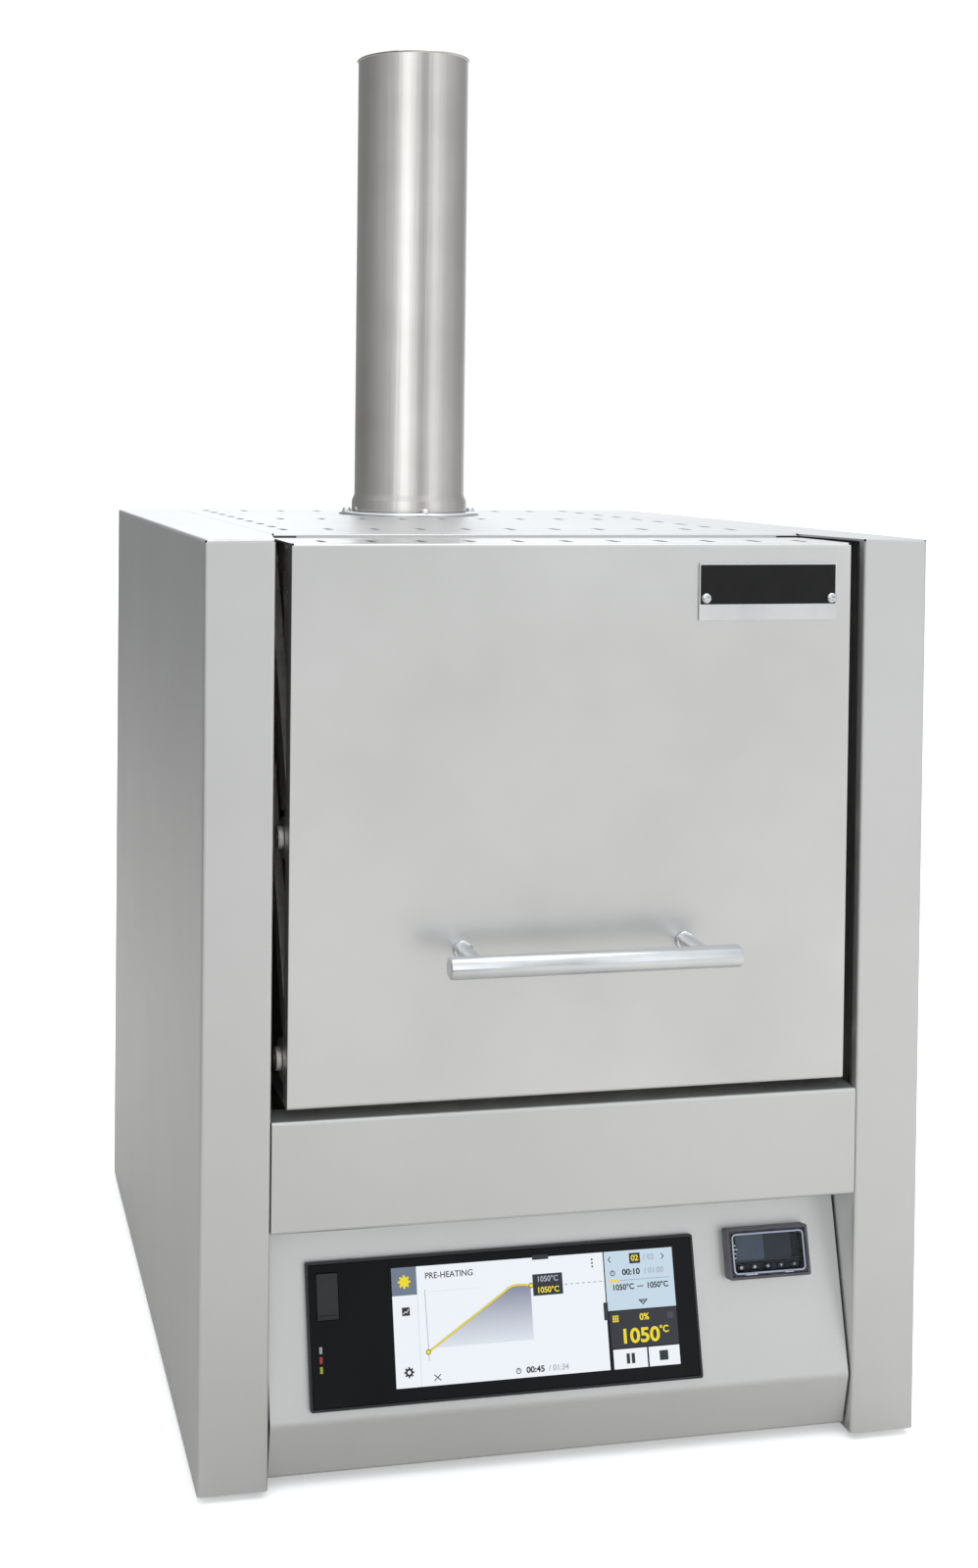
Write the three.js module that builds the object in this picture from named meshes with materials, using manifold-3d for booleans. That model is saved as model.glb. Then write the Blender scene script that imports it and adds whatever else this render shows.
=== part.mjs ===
// Bench ashing furnace with a lifting door and an exhaust stack.
// Millimetres, +Z up. The front faces -Y, and the origin is the middle of its footprint on the bench.
// Depths named y are measured back from the plane of the front posts.

import * as THREE from "three";
import { mergeVertices } from "three/addons/utils/BufferGeometryUtils.js";
import Module from "manifold-3d";

const wasm = await Module();
wasm.setup();

// Driving dimensions

const gap = 0.3; // between pieces that touch
const overrun = 5; // how far a cut runs past the faces it opens
const arcSteps = 3; // steps in a quarter of a small round
const slotSteps = 3; // steps round the end of a slot
const roundSteps = 48; // steps in a large round
const smallSteps = 16; // steps in a small round
const hexSides = 6;

const sheet = { thickness: 1.2, bend: 2.2 };

const casing = {
  width: 415,
  depth: 455,
  height: 515,
  legroom: 4,
  postWidth: 38.5,
  postReturn: 6,
  noseReturn: 34, // deeper below the door
  topFlange: 47.5,
  rearFlange: 22,
  bottomFlange: 30,
};

const foot = { radius: 13, inset: 38, bore: 2.6, boreDepth: 2.5 };

const slot = { length: 19, width: 4.5, columns: 11 };

const cover = {
  doorGap: 1.5, // behind the flange of the door
  rearMargin: 1.6,
  rim: 9,
  armNotch: 14,
  notchRoom: 66, // behind the bearing plates
  firstRow: 61.5, // behind the front edge
  exhaustRow: 90, // ahead of the exhaust
  lastRow: 24, // ahead of the back
  slotMargin: 17.2,
  edgeSlots: 9,
  edgeReach: 3.5, // of the end slots past the first and last rows
};

const base = { slotPitch: 28.5, slotRowShare: 2 / 3 };

const rear = { topRows: [55, 105, 155], lowRows: [92, 52], columns: 9, pitch: 28.5, slotMargin: 9 };

const nose = {
  sideGap: 1,
  topY: 28,
  topZ: 141,
  creaseY: 1.5,
  creaseZ: 37.5,
  bottomY: 8,
  bottomZ: 6,
  topFlange: 30,
  bottomFlange: 42,
};

const band = { noseGap: 1, height: 61, flange: 20 };

const controller = {
  leftMargin: 22,
  rightMargin: 89,
  lowMargin: 6,
  topMargin: 24.84,
  proud: 3.2,
  rim: 1.4,
  bodyInset: 7,
  bodyDepth: 26,
  glassThickness: 1.5,
};

const usb = {
  leftInset: 5.7,
  topInset: 6,
  width: 12,
  height: 24,
  flapThickness: 1.6,
  lipHeight: 1.4,
  lipDepth: 0.9,
  pocketDepth: 12,
  socketWall: 1.6,
  portWidth: 5.6,
  portHeight: 14,
  portDepth: 8.4,
};

const limiter = {
  rightMargin: 20,
  topMargin: 23.34,
  width: 49.5,
  height: 27.5,
  proud: 6.4,
  wall: 3,
  bodyInset: 3.4,
  bodyDepth: 44,
  well: 4.6,
  displayThickness: 1.2,
  coverThickness: 1.4,
  coverInset: 1.9,
  keys: 5,
  keyWidth: 4.2,
  keyHeight: 2.4,
  keyThickness: 1.3,
  keyRow: 4.2,
  keyPitch: 8.1,
};

const door = {
  sideGap: 8.5,
  bandGap: 6,
  topGap: 2,
  flange: 62,
  sideFlange: 12,
  lugRadius: 11, // round the pivots in the cheeks
  slotLine: 23,
  slotMargin: 20.5,
  trayFace: 29,
  trayMargin: 3.5, // inside the arms
  plugMargin: 13, // inside the tray
  plugRise: 5, // above the bottom flange
  plugLap: 24, // above the mouth of the chamber
  plugGap: 0.6, // ahead of the chamber collar
  plugChamfer: 4,
};

const nameplate = { sideInset: 9, topInset: 11, width: 82, height: 32, thickness: 0.8 };

const handle = {
  rise: 82.8, // above the bottom of the door
  length: 162.5,
  radius: 6,
  chamfer: 0.9,
  stand: 34,
  standoffInset: 17.25,
  standoffRadius: 4.2,
};

const lift = {
  shaftInset: 24, // behind the front of the hot box
  shaftDrop: 17, // below the cover
  lowerPinRise: 22, // above the bottom of the door
  doorPinInset: 20, // behind the face of the door
  upperPinDrop: 12.5, // below the middle between the shaft and the lower pins
  shaftRadius: 5,
  pinRadius: 4,
  armWidth: 12,
  eyeRadius: 9,
  armThickness: 5,
  armInset: 8, // inside the cheeks of the door
  bore: 0.35,
  headRadius: 6.5,
  headThickness: 3,
  hexSocket: 2.3,
  socketDepth: 1.8,
};

const bracket = {
  thickness: 4,
  armGap: 1.5,
  halfDepth: 22,
  underPivot: 21,
  overShaft: 12,
  corner: 5.5,
  holes: 3,
  holeShare: 0.36, // of the pitch of the lightening holes
};

const hotBox = {
  doorGap: 4, // behind the flange of the door
  rearRoom: 25, // ahead of the back of the casing
  topRoom: 37, // below the cover
  bottomRise: 30, // above the lower edge of the front band
  frontStand: 2,
};

// How thick the boards and plates are round the chamber.
const lining = {
  cheekThickness: 37,
  floorThickness: 58,
  roofThickness: 78,
  frontThickness: 81,
  rearThickness: 43,
};

const heater = { thickness: 10, margin: 4, grooves: 8, grooveRadius: 3.2, grooveDepth: 1.6 };

const hearth = { thickness: 8, lip: 9 };

const thermocouple = {
  x: 42,
  drop: 16, // below the roof of the chamber
  radius: 3,
  reach: 26,
  headRadius: 11,
  headLength: 13,
  neckLength: 1.5,
};

const member = { height: 24, width: 34, frontInset: 30, rearInset: 58, endGap: 0.5, sheet: 2 };

const exhaust = {
  inset: 17, // ahead of the rear wall of the chamber
  ductOuter: 16,
  ductInner: 11,
  ductDrop: 7, // below the cover
  holeInset: 1.5, // inside the tube
  flangeRadius: 52,
  flangeThickness: 2,
  collarHeight: 27,
  tubeRadius: 40.8,
  tubeWall: 1.2,
  bellStep: 2,
  bellHeight: 11,
  coneHeight: 4,
  height: 335,
  rimRoll: 0.8,
};

const inlet = {
  sideInset: 87.5,
  z: 62,
  halfWidth: 15,
  low: -29,
  high: 29,
  proud: 2.5,
  bodyInset: 2,
  bodyDepth: 24,
  recessHalfWidth: 12,
  recessLow: -25,
  recessHigh: -6,
  recessDepth: 16,
  recessCorner: 4,
  blades: 3,
  bladeWidth: 4,
  bladeThickness: 2,
  bladeLength: 11,
  bladePitch: 7,
  switchHalfWidth: 10,
  switchLow: 2,
  switchHigh: 24,
  switchDepth: 9,
};

const rocker = { clearance: 0.7, rise: 2.6, axleInset: 3.4 };

// Places worked out from the driving dimensions

const halfWidth = casing.width / 2;
const insideWall = halfWidth - sheet.thickness;
const sheetBack = casing.depth - sheet.thickness - gap; // side panels end just ahead of the rear panel

const noseHalf = halfWidth - casing.postWidth - nose.sideGap;
const leanY = nose.topY - nose.creaseY;
const leanZ = nose.topZ - nose.creaseZ;
const lean = Math.atan2(leanY, leanZ);
const noseFace = Math.hypot(leanY, leanZ);
const bandBottom = nose.topZ + band.noseGap;
const bandTop = bandBottom + band.height;

const controllerLeft = controller.leftMargin - noseHalf;
const controllerRight = noseHalf - controller.rightMargin;
const controllerLow = controller.lowMargin;
const controllerHigh = noseFace - controller.topMargin;
const usbLeft = controllerLeft + usb.leftInset;
const usbRight = usbLeft + usb.width;
const usbHigh = controllerHigh - usb.topInset;
const usbLow = usbHigh - usb.height;
const usbPocketFloor = controller.proud - usb.pocketDepth;
const limiterRight = noseHalf - limiter.rightMargin;
const limiterLeft = limiterRight - limiter.width;
const limiterHigh = noseFace - limiter.topMargin;
const limiterLow = limiterHigh - limiter.height;

const doorHalf = halfWidth - casing.postWidth - door.sideGap;
const doorBottom = bandTop + door.bandGap;
const doorTop = casing.height - door.topGap;
const plateRight = doorHalf - nameplate.sideInset;
const plateTop = doorTop - nameplate.topInset;
const handleZ = doorBottom + handle.rise;

const armInner = doorHalf - lift.armInset;
const armOuter = armInner + lift.armThickness;
const trayHalf = armInner - door.trayMargin;
const plugHalf = trayHalf - door.plugMargin;

const hotHalf = armInner - bracket.armGap - bracket.thickness;
const hotFront = door.flange + hotBox.doorGap;
const hotBack = casing.depth - hotBox.rearRoom;
const hotBottom = bandBottom + hotBox.bottomRise;
const hotTop = casing.height - hotBox.topRoom;
const collarFront = hotFront - hotBox.frontStand;

const chamberHalf = hotHalf - lining.cheekThickness;
const chamberFloor = hotBottom + lining.floorThickness;
const chamberRoof = hotTop - lining.roofThickness;
const chamberFront = hotFront + lining.frontThickness;
const chamberBack = hotBack - lining.rearThickness;
const probeZ = chamberRoof - thermocouple.drop;

const doorPinY = lift.doorPinInset;
const shaftY = hotFront + lift.shaftInset;
const shaftZ = casing.height - lift.shaftDrop;
const lowerPinZ = doorBottom + lift.lowerPinRise;
const upperPinZ = (shaftZ + lowerPinZ) / 2 - lift.upperPinDrop;
const reachY = shaftY - doorPinY;
const reachZ = shaftZ - upperPinZ;
const armLength = Math.hypot(reachY, reachZ);
const lowerPivotZ = lowerPinZ + reachZ;

const exhaustY = chamberBack - exhaust.inset;
const bellRadius = exhaust.tubeRadius + exhaust.bellStep;
const bellTop = casing.height + exhaust.bellHeight;
const coneTop = bellTop + exhaust.coneHeight;

const coverFront = door.flange + cover.doorGap;
const coverHalf = halfWidth - casing.topFlange - gap;
const coverRows = [
  coverFront + cover.firstRow,
  exhaustY - cover.exhaustRow,
  casing.depth - cover.lastRow,
];

const inletX = inlet.sideInset - halfWidth;

const overallDepth = handle.stand + handle.radius + casing.depth + inlet.proud;
const frontPlane = handle.stand + handle.radius - overallDepth / 2;

// Materials

function steel(color, roughness) {
  return new THREE.MeshStandardMaterial({ color, roughness, metalness: 0.9 });
}

function plain(color, roughness) {
  return new THREE.MeshStandardMaterial({ color, roughness, metalness: 0 });
}

const material = {
  texturedSteel: steel(0xc6c6c6, 0.42),
  insideSteel: steel(0xa8a8a6, 0.5),
  satinSteel: steel(0xd4d6d8, 0.28),
  stackSteel: steel(0xbfbdb8, 0.3),
  zincSteel: steel(0xb9bbb8, 0.45),
  rubber: plain(0x1c1c1c, 0.85),
  fibre: plain(0xece7da, 0.95),
  ceramic: plain(0xd9cfbd, 0.85),
  heaterPlate: plain(0xcdc4b2, 0.9),
  blackPlastic: plain(0x17181b, 0.5),
  greyPlastic: plain(0x54515a, 0.5),
  darkWindow: plain(0x2f3842, 0.2),
  clear: new THREE.MeshStandardMaterial({
    color: 0xdfe6ea,
    roughness: 0.08,
    metalness: 0,
    transparent: true,
    opacity: 0.3,
  }),
  glass: plain(0x15161a, 0.08),
};

// Solids

function solidOf(geometry) {
  const bare = geometry.index ? geometry.toNonIndexed() : geometry.clone();
  bare.deleteAttribute("normal");
  bare.deleteAttribute("uv");
  const merged = mergeVertices(bare);
  return new wasm.Manifold(
    new wasm.Mesh({
      numProp: 3,
      vertProperties: merged.attributes.position.array,
      triVerts: new Uint32Array(merged.index.array),
    }),
  );
}

function geometryOf(solid) {
  const made = solid.getMesh();
  const geometry = new THREE.BufferGeometry();
  geometry.setAttribute("position", new THREE.BufferAttribute(made.vertProperties, 3));
  geometry.setIndex(new THREE.BufferAttribute(made.triVerts, 1));
  const faceted = geometry.toNonIndexed();
  faceted.computeVertexNormals();
  return faceted;
}

function piece(name, solid, finish) {
  const mesh = new THREE.Mesh(geometryOf(solid), finish);
  mesh.name = name;
  return mesh;
}

function mirrored(name, mesh) {
  const twin = new THREE.Mesh(mesh.geometry, mesh.material);
  twin.name = name;
  twin.scale.x = -1;
  return twin;
}

function joined(solids) {
  return solids.reduce((whole, next) => whole.add(next));
}

function cut(solid, tools) {
  return tools.reduce((rest, tool) => rest.subtract(tool), solid);
}

function box(x0, x1, y0, y1, z0, z1) {
  const geometry = new THREE.BoxGeometry(x1 - x0, y1 - y0, z1 - z0);
  geometry.translate((x0 + x1) / 2, (y0 + y1) / 2, (z0 + z1) / 2);
  return solidOf(geometry);
}

function extruded(shape, length) {
  return new THREE.ExtrudeGeometry(shape, {
    depth: length,
    bevelEnabled: false,
    curveSegments: arcSteps,
    steps: 1,
  });
}

// An outline in x and y, raised from z0 to z1.
function prismZ(shape, z0, z1) {
  return solidOf(extruded(shape, z1 - z0).translate(0, 0, z0));
}

// An outline in y and z, run from x0 to x1.
function prismX(shape, x0, x1) {
  const turn = new THREE.Matrix4().makeBasis(
    new THREE.Vector3(0, 1, 0),
    new THREE.Vector3(0, 0, 1),
    new THREE.Vector3(1, 0, 0),
  );
  return solidOf(extruded(shape, x1 - x0).applyMatrix4(turn).translate(x0, 0, 0));
}

// An outline in x and z, run from y0 to y1.
function prismY(shape, y0, y1) {
  const turn = new THREE.Matrix4().makeBasis(
    new THREE.Vector3(1, 0, 0),
    new THREE.Vector3(0, 0, 1),
    new THREE.Vector3(0, -1, 0),
  );
  return solidOf(extruded(shape, y1 - y0).applyMatrix4(turn).translate(0, y1, 0));
}

function outline(points) {
  const shape = new THREE.Shape();
  shape.moveTo(...points[0]);
  points.slice(1).forEach((point) => shape.lineTo(...point));
  shape.closePath();
  return shape;
}

function rectangle(u0, u1, v0, v1) {
  return outline([
    [u0, v0],
    [u1, v0],
    [u1, v1],
    [u0, v1],
  ]);
}

function roundedRectangle(u0, u1, v0, v1, radius) {
  const shape = new THREE.Shape();
  shape.moveTo(u0 + radius, v0);
  shape.lineTo(u1 - radius, v0);
  shape.quadraticCurveTo(u1, v0, u1, v0 + radius);
  shape.lineTo(u1, v1 - radius);
  shape.quadraticCurveTo(u1, v1, u1 - radius, v1);
  shape.lineTo(u0 + radius, v1);
  shape.quadraticCurveTo(u0, v1, u0, v1 - radius);
  shape.lineTo(u0, v0 + radius);
  shape.quadraticCurveTo(u0, v0, u0 + radius, v0);
  return shape;
}

// A long hole with round ends, its length along v.
function slotShape(u, v, length, width) {
  const reach = (length - width) / 2;
  const ends = [0, Math.PI].flatMap((start) =>
    Array.from({ length: slotSteps + 1 }, (_, i) => start + (i * Math.PI) / slotSteps),
  );
  return outline(
    ends.map((angle, i) => [
      u + (Math.cos(angle) * width) / 2,
      v + (i <= slotSteps ? reach : -reach) + (Math.sin(angle) * width) / 2,
    ]),
  );
}

// A profile of radius and height, turned about the z axis.
function turned(points, steps = roundSteps) {
  const profile = points.map(([radius, z]) => new THREE.Vector2(radius, z));
  return solidOf(new THREE.LatheGeometry(profile, steps).rotateX(Math.PI / 2));
}

// A hollow turned piece: a closed profile that stays off the axis.
function turnedRing(points, steps = roundSteps) {
  return turned([...points, points[0]], steps);
}

function rodZ(x, y, radius, z0, z1, steps = roundSteps) {
  const geometry = new THREE.CylinderGeometry(radius, radius, z1 - z0, steps);
  return solidOf(geometry.rotateX(Math.PI / 2).translate(x, y, (z0 + z1) / 2));
}

function rodY(x, z, radius, y0, y1, steps = roundSteps) {
  const geometry = new THREE.CylinderGeometry(radius, radius, y1 - y0, steps);
  return solidOf(geometry.translate(x, (y0 + y1) / 2, z));
}

function rodX(y, z, radius, x0, x1, steps = roundSteps) {
  const geometry = new THREE.CylinderGeometry(radius, radius, x1 - x0, steps);
  return solidOf(geometry.rotateZ(-Math.PI / 2).translate((x0 + x1) / 2, y, z));
}

// The section of a sheet bent along a line. The points follow its outer face, with the inside to the right.
function foldedShape(points) {
  const at = points.map(([u, v]) => new THREE.Vector2(u, v));
  const way = at.slice(1).map((point, i) => point.clone().sub(at[i]).normalize());
  const inward = way.map((d) => new THREE.Vector2(d.y, -d.x));
  const inner = at.map((point, i) => {
    const before = inward[Math.max(i - 1, 0)];
    const after = inward[Math.min(i, inward.length - 1)];
    const mitre = before.clone().add(after).divideScalar(1 + before.dot(after));
    return point.clone().addScaledVector(mitre, sheet.thickness);
  });
  const shape = new THREE.Shape();
  shape.moveTo(at[0].x, at[0].y);
  for (let i = 1; i < at.length - 1; i += 1) {
    const start = at[i].clone().addScaledVector(way[i - 1], -sheet.bend);
    const end = at[i].clone().addScaledVector(way[i], sheet.bend);
    shape.lineTo(start.x, start.y);
    shape.quadraticCurveTo(at[i].x, at[i].y, end.x, end.y);
  }
  shape.lineTo(at.at(-1).x, at.at(-1).y);
  inner.reverse().forEach((point) => shape.lineTo(point.x, point.y));
  shape.closePath();
  return shape;
}

// Places about the middle, one pitch apart.
function evenly(count, pitch) {
  return Array.from({ length: count }, (_, i) => (i - (count - 1) / 2) * pitch);
}

// Places from the first to the last, evenly spread.
function spread(count, first, last) {
  return Array.from({ length: count }, (_, i) => first + (i * (last - first)) / (count - 1));
}

// Casing

function sidePanel() {
  const left = -halfWidth;
  const walls = prismZ(
    foldedShape([
      [left + casing.postWidth, casing.postReturn],
      [left + casing.postWidth, 0],
      [left, 0],
      [left, sheetBack],
      [left + casing.rearFlange, sheetBack],
    ]),
    casing.legroom,
    casing.height,
  );
  const noseReturn = box(
    left + casing.postWidth - sheet.thickness,
    left + casing.postWidth,
    sheet.bend,
    casing.noseReturn,
    casing.legroom,
    bandBottom,
  );
  const topFlange = prismZ(
    outline([
      [left + sheet.bend, sheet.thickness / 2],
      [left + casing.postWidth - sheet.bend, sheet.thickness / 2],
      [left + casing.postWidth - sheet.thickness / 2, sheet.bend],
      [left + casing.topFlange, coverFront],
      [left + casing.topFlange, sheetBack],
      [left + sheet.thickness / 2, sheetBack],
      [left + sheet.thickness / 2, sheet.bend],
    ]),
    casing.height - sheet.thickness,
    casing.height,
  );
  const bottomFlange = box(
    left + sheet.thickness / 2,
    left + casing.bottomFlange,
    sheet.thickness / 2,
    sheetBack,
    casing.legroom,
    casing.legroom + sheet.thickness,
  );
  const solid = joined([walls, noseReturn, topFlange, bottomFlange]);
  return piece("left_side_panel", solid, material.texturedSteel);
}

function topCover() {
  const half = coverHalf;
  const front = coverFront;
  const back = casing.depth - sheet.thickness - cover.rearMargin;
  const underside = casing.height - sheet.thickness;
  const skirt = underside - cover.rim;
  const plate = box(-half, half, front, back, underside, casing.height);
  const hollowHalf = half - sheet.thickness;
  const rim = box(-half, half, front, back, skirt, underside + sheet.thickness / 2).subtract(
    box(
      -hollowHalf,
      hollowHalf,
      front + sheet.thickness,
      back - sheet.thickness,
      skirt - overrun,
      underside + overrun,
    ),
  );
  const notches = [-1, 1].map((side) => {
    const outer = side * (half + overrun);
    const inner = side * (half - cover.armNotch);
    return box(
      Math.min(outer, inner),
      Math.max(outer, inner),
      front - overrun,
      shaftY + bracket.halfDepth + cover.notchRoom,
      skirt - overrun,
      underside,
    );
  });
  const columns = spread(slot.columns, cover.slotMargin - half, half - cover.slotMargin);
  const rows = coverRows.flatMap((y) =>
    columns.filter((x) => clearOfExhaust(x, y)).map((x) => [x, y]),
  );
  const firstEdge = coverRows[0] - cover.edgeReach;
  const lastEdge = coverRows.at(-1) + cover.edgeReach;
  const edges = spread(cover.edgeSlots, firstEdge, lastEdge).flatMap((y) => [
    [columns[0], y],
    [columns.at(-1), y],
  ]);
  const inner = rows.filter(([x]) => x !== columns[0] && x !== columns.at(-1));
  const slots = [...inner, ...edges].map(([x, y]) => slotZ(x, y, underside, casing.height));
  const exhaustHole = rodZ(
    0,
    exhaustY,
    exhaust.tubeRadius - exhaust.holeInset,
    underside - overrun,
    casing.height + overrun,
  );
  const shell = cut(plate.add(rim), notches);
  return piece("top_cover", cut(shell, [...slots, exhaustHole]), material.texturedSteel);
}

function clearOfExhaust(x, y) {
  return Math.hypot(x, y - exhaustY) > exhaust.flangeRadius + slot.length / 2;
}

function slotZ(x, y, z0, z1) {
  return prismZ(slotShape(x, y, slot.length, slot.width), z0 - overrun, z1 + overrun);
}

function rearPanel() {
  const half = halfWidth - gap;
  const plate = prismY(
    roundedRectangle(-half, half, casing.legroom, casing.height, sheet.bend),
    casing.depth - sheet.thickness,
    casing.depth,
  );
  const columns = evenly(rear.columns, rear.pitch);
  const besideInlet = columns.filter((x) => x > inletX + inlet.halfWidth + rear.slotMargin);
  const slots = [
    ...rear.topRows.flatMap((drop) => columns.map((x) => rearSlot(x, casing.height - drop))),
    ...rear.lowRows.flatMap((rise) =>
      besideInlet.map((x) => rearSlot(x, casing.legroom + rise)),
    ),
  ];
  const inset = inlet.bodyInset - gap;
  const opening = box(
    inletX - inlet.halfWidth + inset,
    inletX + inlet.halfWidth - inset,
    casing.depth - sheet.thickness - overrun,
    casing.depth + overrun,
    inlet.z + inlet.low + inset,
    inlet.z + inlet.high - inset,
  );
  return piece("rear_panel", cut(plate, [...slots, opening]), material.texturedSteel);
}

function rearSlot(x, z) {
  const shape = slotShape(x, z, slot.length, slot.width);
  return prismY(shape, casing.depth - sheet.thickness - overrun, casing.depth + overrun);
}

function basePlate() {
  const half = insideWall - gap;
  const low = casing.legroom + sheet.thickness + gap;
  const front = nose.bottomY + nose.bottomFlange + gap;
  const plate = box(-half, half, front, sheetBack - sheet.thickness - gap, low, low + sheet.thickness);
  const slots = evenly(slot.columns, base.slotPitch).map((x) =>
    slotZ(x, casing.depth * base.slotRowShare, low, low + sheet.thickness),
  );
  return piece("base_plate", cut(plate, slots), material.zincSteel);
}

function feet() {
  const top = casing.legroom - gap;
  const round = turned(
    [
      [0, 0],
      [foot.radius - foot.bore / 2, 0],
      [foot.radius, foot.bore / 2],
      [foot.radius - foot.bore / 4, top],
      [0, top],
    ],
    roundSteps / 2,
  );
  const shape = round.subtract(
    rodZ(0, 0, foot.bore, top - foot.boreDepth, top + overrun, roundSteps / 4),
  );
  const x = halfWidth - foot.radius - sheet.thickness - gap;
  const corners = [
    ["front_left_foot", -x, foot.inset],
    ["front_right_foot", x, foot.inset],
    ["rear_left_foot", -x, casing.depth - foot.inset],
    ["rear_right_foot", x, casing.depth - foot.inset],
  ];
  return corners.map(([name, footX, footY]) => {
    const mesh = piece(name, shape, material.rubber);
    mesh.position.set(footX, footY, 0);
    return mesh;
  });
}

function frontBand() {
  const half = halfWidth - casing.postWidth - gap;
  const section = foldedShape([
    [band.flange, bandBottom],
    [0, bandBottom],
    [0, bandTop],
    [band.flange, bandTop],
  ]);
  return piece("front_band", prismX(section, -half, half), material.texturedSteel);
}

// Cross members: two channels between the side walls that carry the hot box.

function crossMember(name, y) {
  const top = hotBottom - gap;
  const bottom = hotBottom - member.height;
  const wall = member.sheet;
  const section = rectangle(y, y + member.width, bottom, top);
  const hollow = rectangle(y + wall, y + member.width - wall, bottom - overrun, top - wall);
  const half = insideWall - member.endGap;
  const channel = prismX(section, -half, half).subtract(
    prismX(hollow, -half - overrun, half + overrun),
  );
  return piece(name, channel, material.zincSteel);
}

// Hot box: an inner steel casing, fibre boards, heated side plates and a hearth plate.

const boardHalf = hotHalf - sheet.thickness - gap;
const boardBottom = hotBottom + sheet.thickness + gap;
const boardTop = hotTop - sheet.thickness - gap;
const boardBack = hotBack - sheet.thickness - gap;

function innerCasing() {
  const wall = sheet.thickness;
  const outer = box(
    -hotHalf,
    hotHalf,
    hotFront,
    hotBack,
    hotBottom,
    hotTop,
  );
  const inner = box(
    wall - hotHalf,
    hotHalf - wall,
    hotFront - overrun,
    hotBack - wall,
    hotBottom + wall,
    hotTop - wall,
  );
  const ductHole = rodZ(
    0,
    exhaustY,
    exhaust.ductOuter + gap,
    hotTop - overrun,
    hotTop + overrun,
  );
  const probeHole = rodY(
    thermocouple.x,
    probeZ,
    thermocouple.radius + gap,
    hotBack - overrun,
    hotBack + overrun,
    roundSteps / 3,
  );
  return piece("inner_casing", cut(outer, [inner, ductHole, probeHole]), material.insideSteel);
}

function collar() {
  const front = collarFront;
  const lip = sheet.thickness * 2;
  const frame = box(-boardHalf, boardHalf, front, chamberFront - gap, boardBottom, boardTop);
  const mouth = prismY(
    roundedRectangle(
      -chamberHalf,
      chamberHalf,
      chamberFloor,
      chamberRoof,
      lip,
    ),
    front - overrun,
    chamberFront + overrun,
  );
  return piece("chamber_collar", frame.subtract(mouth), material.fibre);
}

function insulation() {
  const hearthTop = chamberFloor - hearth.thickness;
  const floor = box(
    -boardHalf,
    boardHalf,
    chamberFront,
    chamberBack,
    boardBottom,
    hearthTop - gap,
  );
  const roof = box(
    -boardHalf,
    boardHalf,
    chamberFront,
    chamberBack,
    chamberRoof,
    boardTop,
  ).subtract(
    rodZ(0, exhaustY, exhaust.ductOuter + gap, chamberRoof - overrun, boardTop + overrun),
  );
  const sideInner = chamberHalf + heater.thickness + gap;
  const side = box(
    -boardHalf,
    -sideInner,
    chamberFront,
    chamberBack,
    hearthTop,
    chamberRoof - gap,
  );
  const back = box(
    -boardHalf,
    boardHalf,
    chamberBack + gap,
    boardBack,
    boardBottom,
    boardTop,
  ).subtract(
    rodY(
      thermocouple.x,
      probeZ,
      thermocouple.radius + gap,
      chamberBack - overrun,
      boardBack + overrun,
      roundSteps / 3,
    ),
  );
  const left = piece("insulation_left", side, material.fibre);
  return [
    piece("insulation_floor", floor, material.fibre),
    piece("insulation_roof", roof, material.fibre),
    left,
    mirrored("insulation_right", left),
    piece("insulation_rear", back, material.fibre),
  ];
}

function heatingPlates() {
  const face = -chamberHalf;
  const low = chamberFloor + gap;
  const high = chamberRoof - 2 * gap;
  const slab = box(
    face - heater.thickness,
    face,
    chamberFront + heater.margin,
    chamberBack - heater.margin,
    low,
    high,
  );
  const pitch = (high - low) / heater.grooves;
  const grooves = evenly(heater.grooves, pitch).map((offset) =>
    rodY(
      face + heater.grooveRadius - heater.grooveDepth,
      (low + high) / 2 + offset,
      heater.grooveRadius,
      chamberFront - overrun,
      chamberBack + overrun,
      roundSteps / 4,
    ),
  );
  const left = piece("heating_plate_left", cut(slab, grooves), material.heaterPlate);
  return [left, mirrored("heating_plate_right", left)];
}

function hearthPlate() {
  const half = chamberHalf + hearth.lip;
  const plate = prismZ(
    roundedRectangle(
      -half,
      half,
      chamberFront + heater.margin,
      chamberBack - heater.margin,
      hearth.lip,
    ),
    chamberFloor - hearth.thickness,
    chamberFloor,
  );
  return piece("hearth_plate", plate, material.ceramic);
}

function thermocoupleProbe() {
  const start = chamberBack - thermocouple.reach;
  const headStart = hotBack + thermocouple.neckLength;
  const probe = rodY(
    thermocouple.x,
    probeZ,
    thermocouple.radius,
    start,
    headStart + sheet.thickness,
    roundSteps / 3,
  );
  const head = rodY(
    thermocouple.x,
    probeZ,
    thermocouple.headRadius,
    headStart,
    headStart + thermocouple.headLength,
    roundSteps / 2,
  );
  return piece("thermocouple", probe.add(head), material.ceramic);
}

// Exhaust: a ceramic duct from the chamber, a round flange on the cover and a steel stack over it.

function exhaustDuct() {
  const top = casing.height - exhaust.ductDrop;
  const ring = turnedRing([
    [exhaust.ductInner, chamberRoof],
    [exhaust.ductOuter, chamberRoof],
    [exhaust.ductOuter, top],
    [exhaust.ductInner, top],
  ]);
  const mesh = piece("exhaust_duct", ring, material.ceramic);
  mesh.position.y = exhaustY;
  return mesh;
}

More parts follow.
